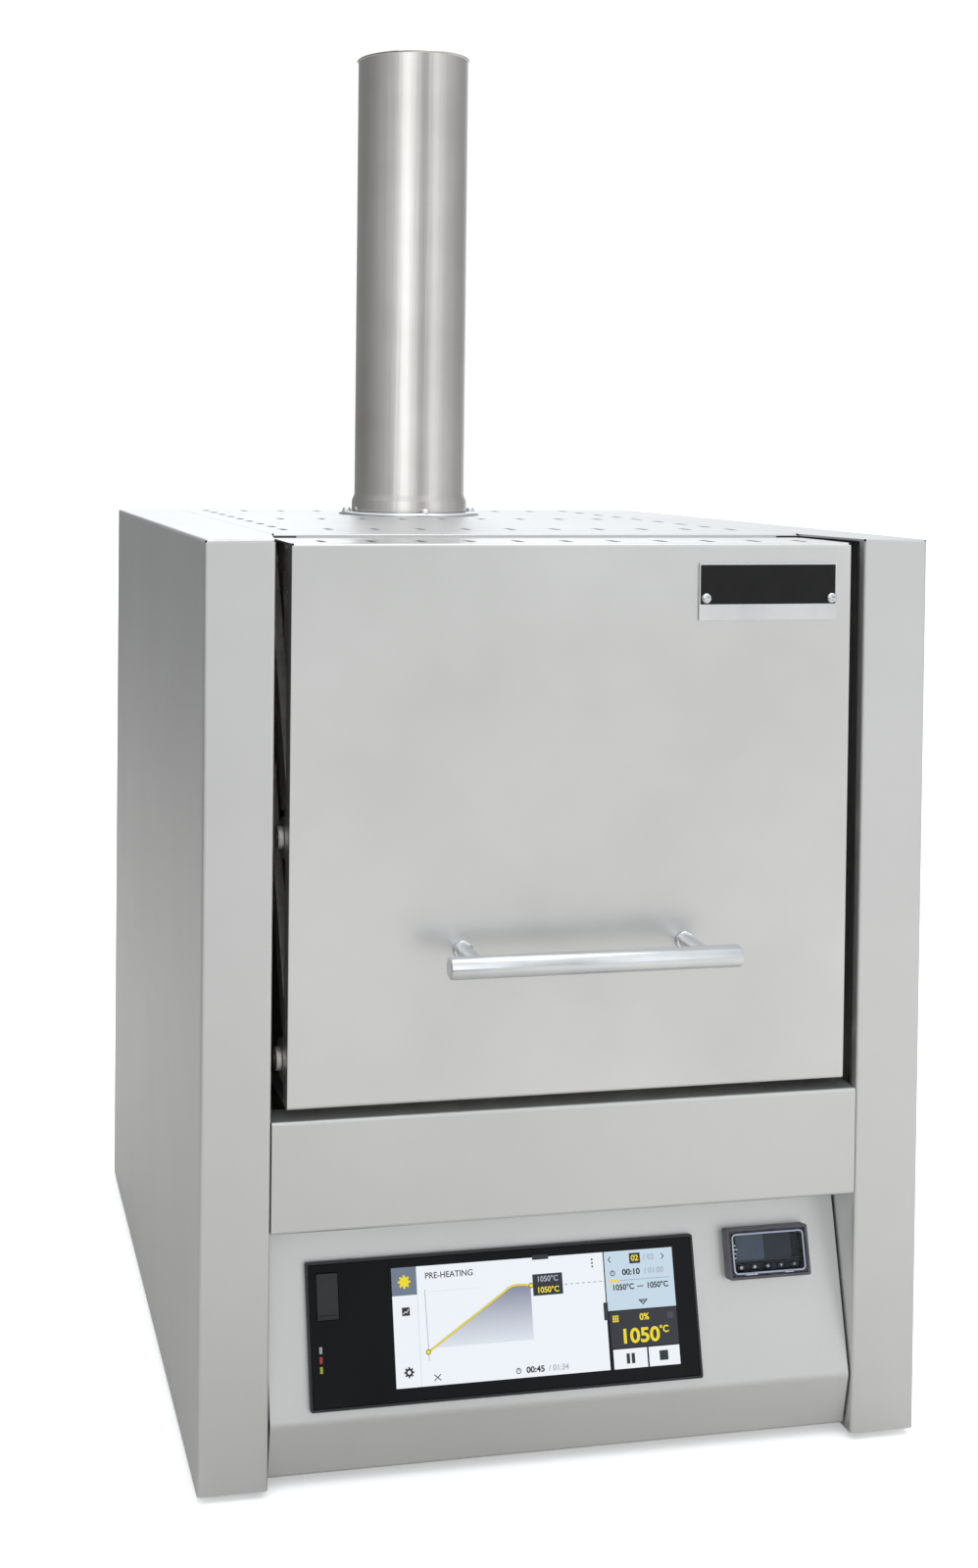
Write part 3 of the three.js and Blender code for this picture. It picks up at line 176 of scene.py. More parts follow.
def pale_floor():
    """White paper, lit a little from within for the camera, grey with painted shade to the steel.
    """
    bpy.ops.object.select_all(action="DESELECT")
    bpy.ops.mesh.primitive_plane_add(size=40)
    floor = bpy.context.object
    floor.name = "studio_floor"
    finish = bpy.data.materials.new("pale studio paper")
    finish.use_nodes = True
    tree = finish.node_tree
    surface = tree.nodes["Principled BSDF"]
    place_in = add_node(tree, "ShaderNodeTexCoord").outputs["Object"]
    parts = add_node(tree, "ShaderNodeSeparateXYZ", inputs={"Vector": place_in})
    far = add_node(tree, "ShaderNodeVectorMath", {"operation": "LENGTH"}, {0: place_in})
    # Painted shade, seen only in the steel: the paper is darker near the casing and towards the
    # left.
    near_shade = add_node(
        tree,
        "ShaderNodeMapRange",
        {"interpolation_type": "SMOOTHSTEP"},
        {"Value": far.outputs["Value"], "From Min": 0.25, "From Max": 0.8, "To Min": 0.80},
    )
    left_shade = add_node(
        tree,
        "ShaderNodeMapRange",
        inputs={"Value": parts.outputs["X"], "From Min": -1.5, "From Max": 0.1, "To Min": 0.16},
    )
    shades = add_node(
        tree,
        "ShaderNodeMath",
        {"operation": "MULTIPLY"},
        {0: near_shade.outputs["Result"], 1: left_shade.outputs["Result"]},
    )
    shaded = add_node(
        tree,
        "ShaderNodeMix",
        {"data_type": "RGBA"},
        {0: shades.outputs["Value"], 6: linear("#000000"), 7: linear("#F1EDE9")},
    )
    seen = add_node(tree, "ShaderNodeLightPath").outputs["Is Camera Ray"]
    tone = add_node(
        tree,
        "ShaderNodeMix",
        {"data_type": "RGBA"},
        {0: seen, 6: shaded.outputs[2], 7: linear("#FFFFFF")},
    )
    glow = add_node(tree, "ShaderNodeMath", {"operation": "MULTIPLY"}, {0: seen, 1: FLOOR_GLOW})
    tree.links.new(tone.outputs[2], surface.inputs["Base Color"])
    tree.links.new(glow.outputs["Value"], surface.inputs["Emission Strength"])
    surface.inputs["Emission Color"].default_value = linear("#FFFFFF")
    surface.inputs["Roughness"].default_value = 0.9
    surface.inputs["Specular IOR Level"].default_value = 0.0
    floor.data.materials.append(finish)


set_camera()
studio_background()
soft_light(
    "top_bank", place=(0.2, -0.2, 2.6), target=(0.0, 0.0, 0.3), size=(1.6, 1.6), watts=12
)
pale_floor()


# Casing sheets: two side panels, the roof, the back and the band below the door, laser cut and
# folded from 1.2 mm stainless steel with a fine embossed skin, then screwed together. Their
# bends and cut edges catch the light.
EDGE = 0.25 * MM


def select_only(thing):
    bpy.ops.object.select_all(action="DESELECT")
    thing.select_set(True)
    bpy.context.view_layer.objects.active = thing


def apply_bevel(thing, width, steps=2):
    select_only(thing)
    bevel = thing.modifiers.new("edges", "BEVEL")
    bevel.width = width
    bevel.segments = steps
    bevel.limit_method = "ANGLE"
    bevel.angle_limit = math.radians(35)
    bevel.use_clamp_overlap = True
    bpy.ops.object.modifier_apply(modifier=bevel.name)


def smooth(thing, angle=32):
    select_only(thing)
    bpy.ops.object.shade_smooth_by_angle(angle=math.radians(angle))


def flatten(thing):
    """Lets the large faces set the shading, so that flat sheet looks flat up to its edges."""
    select_only(thing)
    weighted = thing.modifiers.new("normals", "WEIGHTED_NORMAL")
    weighted.keep_sharp = True
    bpy.ops.object.modifier_apply(modifier=weighted.name)


def place(thing, name, body, slot, finish, nodes=()):
    select_only(thing)
    thing.name = name
    thing.data.name = name
    bpy.ops.object.transform_apply(location=True, rotation=True, scale=True)
    thing.data.materials.clear()
    thing.data.materials.append(finish)
    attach(thing, body)
    if nodes:
        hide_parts(*nodes)
    return thing


def round_over(thing, chosen, width, steps=5):
    """Rounds the edges whose ends both pass a test, as a press brake leaves a bend."""
    bpy.ops.object.mode_set(mode="EDIT")
    bpy.ops.mesh.select_mode(type="EDGE")
    bpy.ops.mesh.select_all(action="DESELECT")
    bpy.ops.object.mode_set(mode="OBJECT")
    corners = thing.data.vertices
    for line in thing.data.edges:
        line.select = all(chosen(corners[end].co) for end in line.vertices)
    bpy.ops.object.mode_set(mode="EDIT")
    bpy.ops.mesh.bevel(offset=width, segments=steps, affect="EDGES")
    bpy.ops.object.mode_set(mode="OBJECT")


# The tiny open corner inside each folded corner of a side panel's top, and where it closes.
NOTCH_X, NOTCH_Y, NOTCH_LOW = 0.2061, -0.2074, 0.5130
NOTCH_REACH = 0.0004
CLOSED_X, CLOSED_Y = 0.2063, -0.20755


def close_relief(thing):
    for corner in thing.data.vertices:
        at = corner.co
        beside = abs(abs(at.x) - NOTCH_X) < NOTCH_REACH and abs(at.y - NOTCH_Y) < NOTCH_REACH
        if at.z > NOTCH_LOW and beside:
            at.x = math.copysign(CLOSED_X, at.x)
            at.y = CLOSED_Y


def refined(node, name, body, slot, finish, edge=EDGE, steps=2, bend=None):
    """A copy of a solid with its facets merged, its edges broken and its bends smooth."""
    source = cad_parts[node]
    thing = bpy.data.objects.new(name, source.data.copy())
    bpy.context.scene.collection.objects.link(thing)
    select_only(thing)
    if bend:
        close_relief(thing)
    bpy.ops.object.mode_set(mode="EDIT")
    bpy.ops.mesh.select_all(action="SELECT")
    bpy.ops.mesh.remove_doubles(threshold=2e-6)
    bpy.ops.mesh.delete_loose()
    bpy.ops.mesh.select_all(action="SELECT")
    bpy.ops.mesh.dissolve_limited(angle_limit=math.radians(0.6))
    bpy.ops.object.mode_set(mode="OBJECT")
    if bend:
        round_over(thing, *bend)
    apply_bevel(thing, edge, steps)
    smooth(thing)
    flatten(thing)
    return place(thing, name, body, slot, finish, (node,))


def new_material(name, color, metallic, roughness):
    finish = bpy.data.materials.new(name)
    finish.use_nodes = True
    surface = finish.node_tree.nodes["Principled BSDF"]
    surface.inputs["Base Color"].default_value = linear(color)
    surface.inputs["Metallic"].default_value = metallic
    surface.inputs["Roughness"].default_value = roughness
    return finish, finish.node_tree, surface


def mottle(tree, surface, scale_mm, dark, light, detail=3.0):
    """Cloudy colour between two tones, its clouds about scale_mm across."""
    place_in = add_node(tree, "ShaderNodeTexCoord").outputs["Object"]
    inputs = {"Vector": place_in, "Scale": 1 / (scale_mm * MM), "Detail": detail}
    inputs["Roughness"] = 0.55
    cloud = add_node(tree, "ShaderNodeTexNoise", inputs=inputs)
    tone = add_node(tree, "ShaderNodeValToRGB", inputs={"Fac": cloud.outputs["Fac"]})
    for stop, position, color in zip(tone.color_ramp.elements, (0.3, 0.7), (dark, light)):
        stop.position = position
        stop.color = linear(color)
    tree.links.new(tone.outputs["Color"], surface.inputs["Base Color"])
    return place_in


def grain(tree, surface, place_in, scale_mm, depth_mm, stretch=(1, 1, 1), detail=2.0):
    """A fine bump of one grain size, drawn out along an axis by a small stretch value."""
    mapped = add_node(tree, "ShaderNodeMapping", inputs={"Vector": place_in, "Scale": stretch})
    inputs = {"Vector": mapped.outputs["Vector"], "Scale": 1 / (scale_mm * MM), "Detail": detail}
    speck = add_node(tree, "ShaderNodeTexNoise", inputs=inputs).outputs["Fac"]
    inputs = {"Strength": 1.0, "Distance": depth_mm * MM, "Height": speck}
    bump = add_node(tree, "ShaderNodeBump", inputs=inputs)
    tree.links.new(bump.outputs["Normal"], surface.inputs["Normal"])
    return speck


# Stainless steel sheet with a fine skin-rolled emboss: a grey satin with a faint dry sparkle.
# The inner faces of the walls keep the dull skin of the mill.
SHINE = 0.82
INNER_WALL = 206.3 * MM
INNER_WALL_REACH = 0.5 * MM
INNER_WALL_TOP = 0.5134
POST_BACK = -0.2072


def skin_rolled_steel():
    finish, tree, surface = new_material("skin-rolled stainless steel", "#D2D2D1", SHINE, 0.4)
    place_in = mottle(tree, surface, 90, "#D0D0CF", "#D4D4D3")
    speck = grain(tree, surface, place_in, 0.9, 0.035)
    dry = add_node(
        tree,
        "ShaderNodeMapRange",
        inputs={"Value": speck, "From Min": 0.3, "From Max": 0.7, "To Min": 0.36, "To Max": 0.5},
    )
    tree.links.new(dry.outputs["Result"], surface.inputs["Roughness"])
    parts = add_node(tree, "ShaderNodeSeparateXYZ", inputs={"Vector": place_in})
    out = add_node(tree, "ShaderNodeMath", {"operation": "ABSOLUTE"}, {0: parts.outputs["X"]})
    inside = add_node(
        tree,
        "ShaderNodeMath",
        {"operation": "COMPARE"},
        {0: out.outputs["Value"], 1: INNER_WALL, 2: INNER_WALL_REACH},
    )
    for operation, axis, limit in (
        ("LESS_THAN", "Z", INNER_WALL_TOP),
        ("GREATER_THAN", "Y", POST_BACK),
    ):
        within = add_node(
            tree, "ShaderNodeMath", {"operation": operation}, {0: parts.outputs[axis], 1: limit}
        )
        inside = add_node(
            tree,
            "ShaderNodeMath",
            {"operation": "MULTIPLY"},
            {0: inside.outputs["Value"], 1: within.outputs["Value"]},
        )
    dull = add_node(
        tree,
        "ShaderNodeMapRange",
        inputs={"Value": inside.outputs["Value"], "To Min": SHINE, "To Max": 0.0},
    )
    tree.links.new(dull.outputs["Result"], surface.inputs["Metallic"])
    return finish


TOP_FACE = 0.5149
POST_FRONT = -0.2086
OUTER_WALL = 0.2074
FOLDED_CORNER = 0.4140
ROOF_FRONT = -0.1450


def panel_bend(at):
    """The front and outer edges round the top of a side panel."""
    at_corner = abs(at.x) - at.y > FOLDED_CORNER
    return at.z > TOP_FACE and (at.y < POST_FRONT or abs(at.x) > OUTER_WALL or at_corner)


def cover_bend(at):
    """The front edge of the roof."""
    return at.z > TOP_FACE and at.y < ROOF_FRONT


skin_steel = skin_rolled_steel()
for node, bend in (
    ("left_side_panel", (panel_bend, 2.0 * MM)),
    ("right_side_panel", (panel_bend, 2.0 * MM)),
    ("top_cover", (cover_bend, 0.9 * MM, 3)),
    ("rear_panel", None),
    ("front_band", None),
):
    refined(node, node + "_sheet", "casing", "textured_steel", skin_steel, bend=bend)


# Relief holes: small and round, cut where two bends meet at the top corners of the posts, of
# the door and of the roof. Only their dark insides are seen, drawn as near-black beads: painted
# shade.
RELIEF_RADIUS = 0.75 * MM


def painted_hole_shade():
    """Painted shade for a small hole: near black, with no gloss at all."""
    finish, tree, surface = new_material("shadowed relief hole", "#161616", 0.0, 0.9)
    mottle(tree, surface, 2, "#121212", "#1C1B1A")
    return finish


relief = painted_hole_shade()
for word, body, centre in (
    ("outer_left", "casing", (-0.20645, -0.2077, 0.51395)),
    ("inner_left", "casing", (-0.1694, -0.2082, 0.5145)),
    ("inner_right", "casing", (0.1694, -0.2082, 0.5145)),
    ("outer_right", "casing", (0.20645, -0.2077, 0.51395)),
    ("door_left", "door", (-0.1601, -0.2082, 0.5125)),
    ("door_right", "door", (0.1601, -0.2082, 0.5125)),
    ("roof_left", "casing", (-0.1592, -0.1447, 0.5146)),
    ("roof_right", "casing", (0.1592, -0.1447, 0.5146)),
):
    bpy.ops.object.select_all(action="DESELECT")
    bpy.ops.mesh.primitive_ico_sphere_add(subdivisions=2, radius=RELIEF_RADIUS, location=centre)
    place(bpy.context.object, "relief_" + word, body, "textured_steel", relief)


# Base plate and cross members: zinc-plated sheet, spangled and slightly yellow. The plate closes
# the casing from below and the members carry the hot box.
def zinc_plated_steel():
    """Zinc on sheet steel: pale grey with the faint patches of its crystals."""
    finish, tree, surface = new_material("zinc-plated steel", "#C4C2BC", 0.6, 0.42)
    place_in = add_node(tree, "ShaderNodeTexCoord").outputs["Object"]
    inputs = {"Vector": place_in, "Scale": 1 / (9 * MM)}
    spangle = add_node(tree, "ShaderNodeTexVoronoi", inputs=inputs)
    tone = add_node(tree, "ShaderNodeValToRGB", inputs={"Fac": spangle.outputs["Color"]})
    tone.color_ramp.elements[0].color = linear("#B9B6AF")
    tone.color_ramp.elements[1].color = linear("#D2CFC8")
    tree.links.new(tone.outputs["Color"], surface.inputs["Base Color"])
    grain(tree, surface, place_in, 1.2, 0.02)
    return finish


zinc_steel = zinc_plated_steel()
for node in ("base_plate", "front_cross_member", "rear_cross_member"):
    refined(node, node + "_sheet", "casing", "zinc_steel", zinc_steel)


# Feet: four moulded rubber pads screwed under the side panels. They are short, so that the
# casing seems to stand on the table.
RUBBER_EDGE = 0.3 * MM


def moulded_rubber():
    """Moulded rubber: dark grey and dull, with a fine rough skin."""
    finish, tree, surface = new_material("moulded rubber", "#1C1C1C", 0.0, 0.8)
    place_in = mottle(tree, surface, 6, "#171717", "#232322")
    grain(tree, surface, place_in, 0.6, 0.04)
    return finish


rubber = moulded_rubber()
for node in ("front_left_foot", "front_right_foot", "rear_left_foot", "rear_right_foot"):
    refined(node, node + "_pad", "casing", "rubber", rubber, RUBBER_EDGE)


# Hot box: an inner casing of rolled sheet round pale boards of vacuum-formed ceramic fibre,
# with cast heating plates at the sides and a fired hearth plate.
BOARD_EDGE = 0.8 * MM
HEATER_EDGE = 0.5 * MM
CERAMIC_EDGE = 0.6 * MM


def rolled_inner_steel():
    """Cold-rolled sheet: darker than outside, with faint upright lines."""
    finish, tree, surface = new_material("cold-rolled stainless steel", "#9A9894", 0.9, 0.45)
    place_in = mottle(tree, surface, 40, "#8C8A85", "#A6A4A0")
    grain(tree, surface, place_in, 0.8, 0.015, (1, 1, 0.08))
    return finish


def ceramic_fibre():
    """Vacuum-formed fibre: off-white and matt, with a coarse felted face."""
    finish, tree, surface = new_material("vacuum-formed ceramic fibre", "#ECE7DA", 0.0, 0.95)
    place_in = mottle(tree, surface, 18, "#E2DCCB", "#F2EEE4", 6.0)
    grain(tree, surface, place_in, 1.6, 0.35, (0.35, 1, 1))
    return finish


def cast_heater():
    """A cast of fine cement: sandy, matt and speckled."""
    finish, tree, surface = new_material("cast heating plate", "#CDC4B2", 0.0, 0.9)
    place_in = mottle(tree, surface, 12, "#BDB29C", "#D8D0BF", 5.0)
    grain(tree, surface, place_in, 1.1, 0.2)
    return finish


def fired_ceramic():
    """Fired clay: sandy and dense, with a dull even face."""
    finish, tree, surface = new_material("fired ceramic", "#D9CFBD", 0.0, 0.75)
    place_in = mottle(tree, surface, 15, "#CFC3AE", "#E0D8C8", 4.0)
    grain(tree, surface, place_in, 0.7, 0.06)
    return finish


inner_steel = rolled_inner_steel()
fibre = ceramic_fibre()
heater = cast_heater()
ceramic = fired_ceramic()
refined("inner_casing", "inner_casing_box", "casing", "inside_steel", inner_steel)
for node in ("chamber_collar", "insulation_floor", "insulation_roof", "insulation_left",
             "insulation_right", "insulation_rear"):
    refined(node, node + "_board", "casing", "fibre", fibre, BOARD_EDGE)
for node in ("heating_plate_left", "heating_plate_right"):
    refined(node, node + "_cast", "casing", "heater_plate", heater, HEATER_EDGE)
for node in ("hearth_plate", "thermocouple", "exhaust_duct"):
    refined(node, node + "_fired", "casing", "ceramic", ceramic, CERAMIC_EDGE)


# Exhaust: a spun flange with four studs and dome nuts on the roof, and a stack rolled from
# smooth stainless steel that plugs over it. The stack shows tall soft streaks.
STACK_Y = 0.16125
TUBE = 40.8
BELL = 42.8
COLLAR = 39.3
FLANGE = 52.0
WALL = 1.2


def ring_piece(points, centre, segments=96, loop=False):
    """Turns a profile of radius and height, in mm, about an upright axis by extruding rings."""
    first = points[0]
    bpy.ops.object.select_all(action="DESELECT")
    bpy.ops.mesh.primitive_circle_add(
        vertices=segments, radius=first[0] * MM, location=(0, 0, first[1] * MM)
    )
    thing = bpy.context.object
    bpy.ops.object.transform_apply(location=True)
    bpy.ops.object.mode_set(mode="EDIT")
    bpy.ops.mesh.select_all(action="SELECT")
    radius, height = first
    outline = list(points[1:]) + ([first] if loop else [])
    for next_radius, next_height in outline:
        bpy.ops.mesh.extrude_edges_move(
            TRANSFORM_OT_translate={"value": (0, 0, (next_height - height) * MM)}
        )
        scale = next_radius / radius
        bpy.ops.transform.resize(value=(scale, scale, 1), center_override=(0, 0, next_height * MM))
        radius, height = next_radius, next_height
    bpy.ops.mesh.select_all(action="SELECT")
    bpy.ops.mesh.remove_doubles(threshold=1e-6)
    if not loop:
        bpy.ops.mesh.fill_holes(sides=0)
    bpy.ops.mesh.select_all(action="SELECT")
    bpy.ops.mesh.normals_make_consistent(inside=False)
    bpy.ops.object.mode_set(mode="OBJECT")
    thing.location = centre
    return thing


def satin_stack_steel():
    """Rolled smooth sheet: clear highlights, broken into tall soft streaks."""
    finish, tree, surface = new_material("rolled stainless tube", "#C8C3BE", 1.0, 0.15)
    place_in = mottle(tree, surface, 60, "#C2BDB8", "#CECAC6")
    grain(tree, surface, place_in, 5, 0.16, (1, 1, 0.02), 3.0)
    return finish


def satin_ground_steel():
    """Ground with a fine belt: bright, with slightly spread highlights."""
    finish, tree, surface = new_material("satin-ground stainless steel", "#D9DBDD", 1.0, 0.22)
    place_in = mottle(tree, surface, 25, "#D3D5D8", "#E0E2E3")
    grain(tree, surface, place_in, 0.6, 0.01, (0.1, 1, 1))
    return finish


stack_steel = satin_stack_steel()
satin_steel = satin_ground_steel()
stack = ring_piece(
    [(BELL - WALL, 517.6), (BELL, 517.6), (BELL, 524.6), (BELL - 0.2, 525.8), (TUBE + 0.15, 529.6),
     (TUBE, 531.0), (TUBE, 848.2), (TUBE + 0.65, 848.8), (TUBE + 0.8, 849.4), (TUBE + 0.45, 849.9),
     (TUBE - 0.15, 850.0), (TUBE - 0.95, 849.9), (TUBE - WALL, 849.2), (TUBE - WALL, 529.0),
     (BELL - WALL, 525.0)],
    (0, STACK_Y, 0),
    loop=True,
)
smooth(stack)
place(stack, "exhaust_stack", "stack", "stack_steel", stack_steel, ("exhaust_tube",))

flange = ring_piece(
    [(COLLAR - WALL, 515.3), (FLANGE, 515.3), (FLANGE, 515.8), (FLANGE - 0.5, 516.6),
     (FLANGE - 1.2, 517.1), (FLANGE - 2.0, 517.3), (COLLAR, 517.3), (COLLAR, 541.6),
     (COLLAR - 0.45, 542.0), (COLLAR - WALL, 542.0)],
    (0, STACK_Y, 0),
    loop=True,
)
smooth(flange)
place(flange, "exhaust_flange_spun", "casing", "satin_steel", satin_steel, ("exhaust_flange",))

NUT_RING = 47.3 * MM
for index, degrees in enumerate((0, 90, 180, 270)):
    angle = math.radians(degrees)
    nut = ring_piece(
        [(3.9, 517.3), (3.9, 517.8), (3.2, 518.0), (3.1, 518.9), (2.6, 519.8), (1.7, 520.4),
         (0.5, 520.6)],
        (NUT_RING * math.cos(angle), STACK_Y + NUT_RING * math.sin(angle), 0),
        segments=24,
    )
    smooth(nut, angle=40)
    place(nut, f"exhaust_nut_{index + 1}", "casing", "satin_steel", satin_steel)


# Door: a folded front of linen-embossed stainless steel over a plain inner tray, with a fibre
# plug behind. The emboss is a fine diamond that gives the sheet its cloth-like shimmer.
# The real diamonds are 1.3 mm, which is finer than the render shows, so they are 2.2 mm here.
DIAMOND = 2.2 * MM
DIAMOND_DEPTH = 0.009 * MM


def linen_steel():
    """Sheet pressed between patterned rolls: its highlights break up as on cloth."""
    finish, tree, surface = new_material("linen-embossed stainless steel", "#D6D6D5", 0.9, 0.36)
    place_in = mottle(tree, surface, 120, "#D0D0CE", "#DADAD9")
    parts = add_node(tree, "ShaderNodeSeparateXYZ", inputs={"Vector": place_in})
    along = add_node(
        tree,
        "ShaderNodeMath",
        {"operation": "ADD"},
        {0: parts.outputs["X"], 1: parts.outputs["Y"]},
    )
    waves = []
    for run in (along.outputs["Value"], parts.outputs["Z"]):
        turns = {0: run, 1: 2 * math.pi / DIAMOND}
        turn = add_node(tree, "ShaderNodeMath", {"operation": "MULTIPLY"}, turns)
        wave = {0: turn.outputs["Value"]}
        waves.append(add_node(tree, "ShaderNodeMath", {"operation": "SINE"}, wave))
    weave = add_node(
        tree,
        "ShaderNodeMath",
        {"operation": "MULTIPLY"},
        {0: waves[0].outputs["Value"], 1: waves[1].outputs["Value"]},
    ).outputs["Value"]
    inputs = {"Strength": 1.0, "Distance": DIAMOND_DEPTH, "Height": weave}
    bump = add_node(tree, "ShaderNodeBump", inputs=inputs)
    tree.links.new(bump.outputs["Normal"], surface.inputs["Normal"])
    polish = add_node(
        tree,
        "ShaderNodeMapRange",
        inputs={"Value": weave, "From Min": -0.6, "From Max": 0.6, "To Min": 0.38, "To Max": 0.28},
    )
    tree.links.new(polish.outputs["Result"], surface.inputs["Roughness"])
    return finish


def slab(low, high, edge=0.0):
    """A plate between two corners, in metres, with broken edges."""
    low, high = Vector(low), Vector(high)
    bpy.ops.object.select_all(action="DESELECT")
    bpy.ops.mesh.primitive_cube_add(size=1, location=(low + high) / 2, scale=high - low)
    thing = bpy.context.object
    bpy.ops.object.transform_apply(location=True, rotation=True, scale=True)
    if edge:
        apply_bevel(thing, edge, 1)
    return thing


# A narrow lip behind the top of the door closes most of the seam to the roof.
LIP = ((-0.1600, -0.14675, 0.5118), (0.1600, -0.1456, 0.5130))
LIP_EDGE = 0.2 * MM
linen = linen_steel()
refined("door_cover", "door_front_sheet", "door", "textured_steel", linen)
place(slab(*LIP, LIP_EDGE), "door_top_lip", "door", "textured_steel", linen)
refined("door_tray", "door_tray_sheet", "door", "inside_steel", inner_steel)
refined("door_insulation", "door_plug_board", "door", "fibre", fibre, BOARD_EDGE)


# Handle: a ground round bar on two turned standoffs, bolted through the door sheet. Each
# standoff has a thin foot and runs into the bar.
HANDLE_Y = -0.24275
HANDLE_Z = 0.2918
DOOR_FACE = -0.20875
STANDOFF_X = 64 * MM


def turn_to(thing, axis, centre):
    """Lays an upright turned piece along x or y and moves it to its centre."""
    select_only(thing)
    spin = {"X": (0, math.radians(90), 0), "Y": (math.radians(90), 0, 0)}[axis]
    thing.rotation_euler = spin
    thing.location = centre
    bpy.ops.object.transform_apply(location=True, rotation=True)
    return thing


bar = ring_piece(
    [(3.0, -81.25), (5.0, -81.25), (5.6, -81.0), (6.0, -80.35), (6.0, 80.35), (5.6, 81.0),
     (5.0, 81.25), (3.0, 81.25)],
    (0, 0, 0),
)
turn_to(bar, "X", (0, HANDLE_Y, HANDLE_Z))
smooth(bar)
place(bar, "handle_round_bar", "door", "satin_steel", satin_steel, ("handle_bar",))

for side, word in ((-1, "left"), (1, "right")):
    post = ring_piece(
        [(3.0, 0.3), (5.2, 0.3), (5.4, 0.6), (5.4, 1.9), (5.1, 2.3), (4.2, 2.5), (4.2, 27.4),
         (3.0, 27.6)],
        (0, 0, 0),
        segments=48,
    )
    turn_to(post, "Y", (side * STANDOFF_X, DOOR_FACE, HANDLE_Z))
    smooth(post)
    name = f"handle_post_{word}"
    place(post, name, "door", "satin_steel", satin_steel, (f"handle_standoff_{word}",))


# Name plate: a bare black-enamelled plate over a pale strip, held by two button-head screws.
# It says nothing.
PLATE_FIELD = ((0.0702, -0.2100, 0.4790), (0.1508, -0.2098, 0.5010))
PLATE_EDGE = 0.15 * MM
FIELD_EDGE = 0.06 * MM
SOCKET_RIM = 0.1 * MM
SOCKET_DEPTH = 1.6 * MM


def black_enamel():
    """Fired enamel: black, smooth and glossy."""
    finish, tree, surface = new_material("black stove enamel", "#131313", 0.0, 0.3)
    place_in = mottle(tree, surface, 8, "#0E0E0F", "#151514")
    grain(tree, surface, place_in, 0.5, 0.006)
    surface.inputs["Specular IOR Level"].default_value = 0.25
    return finish


def button_screw(name, centre, body, radius=2.9):
    """A round head with a plain round socket, its face outwards along -y."""
    head = ring_piece(
        [(radius, 0.0), (radius, 0.5), (radius * 0.92, 1.1), (radius * 0.7, 1.6),
         (radius * 0.52, 1.8)],
        (0, 0, 0),
        segments=30,
    )
    bpy.ops.object.mode_set(mode="EDIT")
    bpy.ops.mesh.select_all(action="DESELECT")
    bpy.ops.object.mode_set(mode="OBJECT")
    for face in head.data.polygons:
        face.select = face.normal.z > 0.99 and face.center.z > 1.7 * MM
    bpy.ops.object.mode_set(mode="EDIT")
    bpy.ops.mesh.inset(thickness=SOCKET_RIM)
    bpy.ops.mesh.extrude_region_move(TRANSFORM_OT_translate={"value": (0, 0, -SOCKET_DEPTH)})
    bpy.ops.object.mode_set(mode="OBJECT")
    turn_to(head, "Y", centre)
    smooth(head, angle=40)
    return place(head, name, body, "satin_steel", satin_steel)


enamel = black_enamel()
refined("name_plate", "name_plate_strip", "door", "satin_steel", satin_steel, PLATE_EDGE)
place(slab(*PLATE_FIELD, FIELD_EDGE), "name_plate_field", "door", "satin_steel", enamel)
button_screw("name_plate_screw_left", (0.0736, -0.21, 0.4825), "door")
button_screw("name_plate_screw_right", (0.1484, -0.21, 0.4823), "door")


# Lift linkage: a full-width cross shaft, flat arms punched from zinc-plated bar, bearing
# plates on the hot box and button-head pins in the door's cheeks.
PLATED_EDGE = 0.3 * MM
for node, body in (
    ("lift_shaft", "lift_arms"),
    ("upper_arm_left", "lift_arms"),
    ("upper_arm_right", "lift_arms"),
    ("lower_arm_left", "lower_left"),
    ("lower_arm_right", "lower_right"),
    ("lift_bracket_left", "casing"),
    ("lift_bracket_right", "casing"),
    ("door_pin_upper_left", "door"),
    ("door_pin_upper_right", "door"),
    ("door_pin_lower_left", "door"),
    ("door_pin_lower_right", "door"),
):
    refined(node, node + "_plated", body, "zinc_steel", zinc_steel, PLATED_EDGE)

# A small tab with a screw on each bearing plate, seen in the gap beside the door.
TAB_NEAR, TAB_FAR = 0.1473, 0.1522
TAB_FRONT, TAB_BACK = -0.1435, -0.14075
TAB_LOW, TAB_HIGH = 0.4740, 0.4935
TAB_SCREW_X, TAB_SCREW_Z = 0.14975, 0.482
for side, word in ((-1, "left"), (1, "right")):
    near, far = sorted((side * TAB_NEAR, side * TAB_FAR))
    tab = slab((near, TAB_FRONT, TAB_LOW), (far, TAB_BACK, TAB_HIGH), PLATED_EDGE)
    place(tab, f"bracket_tab_{word}", "casing", "zinc_steel", zinc_steel)
    centre = (side * TAB_SCREW_X, TAB_FRONT, TAB_SCREW_Z)
    button_screw(f"bracket_tab_screw_{word}", centre, "casing", radius=2.2)


# Rear screws: eight button heads hold the rear panel to the flanges of the side panels, four
# down each side. The photo doesn't show them.
REAR_FACE = 0.24625
REAR_SCREW_X = 0.1995
for side, word in ((-1, "left"), (1, "right")):
    for index, height in enumerate((0.030, 0.185, 0.340, 0.495)):
        name = f"rear_screw_{word}_{index + 1}"
        screw = button_screw(name, (0, 0, 0), "casing", radius=2.6)
        screw.data.transform(Matrix.Rotation(math.pi, 4, "Z"))
        screw.data.transform(Matrix.Translation((side * REAR_SCREW_X, REAR_FACE, height)))


# Control nose: a folded sheet whose upper face leans back, with rectangular cut-outs. The prints
# and signs on it are drawn flat, in millimetres along and up that face, and then laid on it.
refined("control_panel", "control_nose_sheet", "casing", "textured_steel", skin_steel)

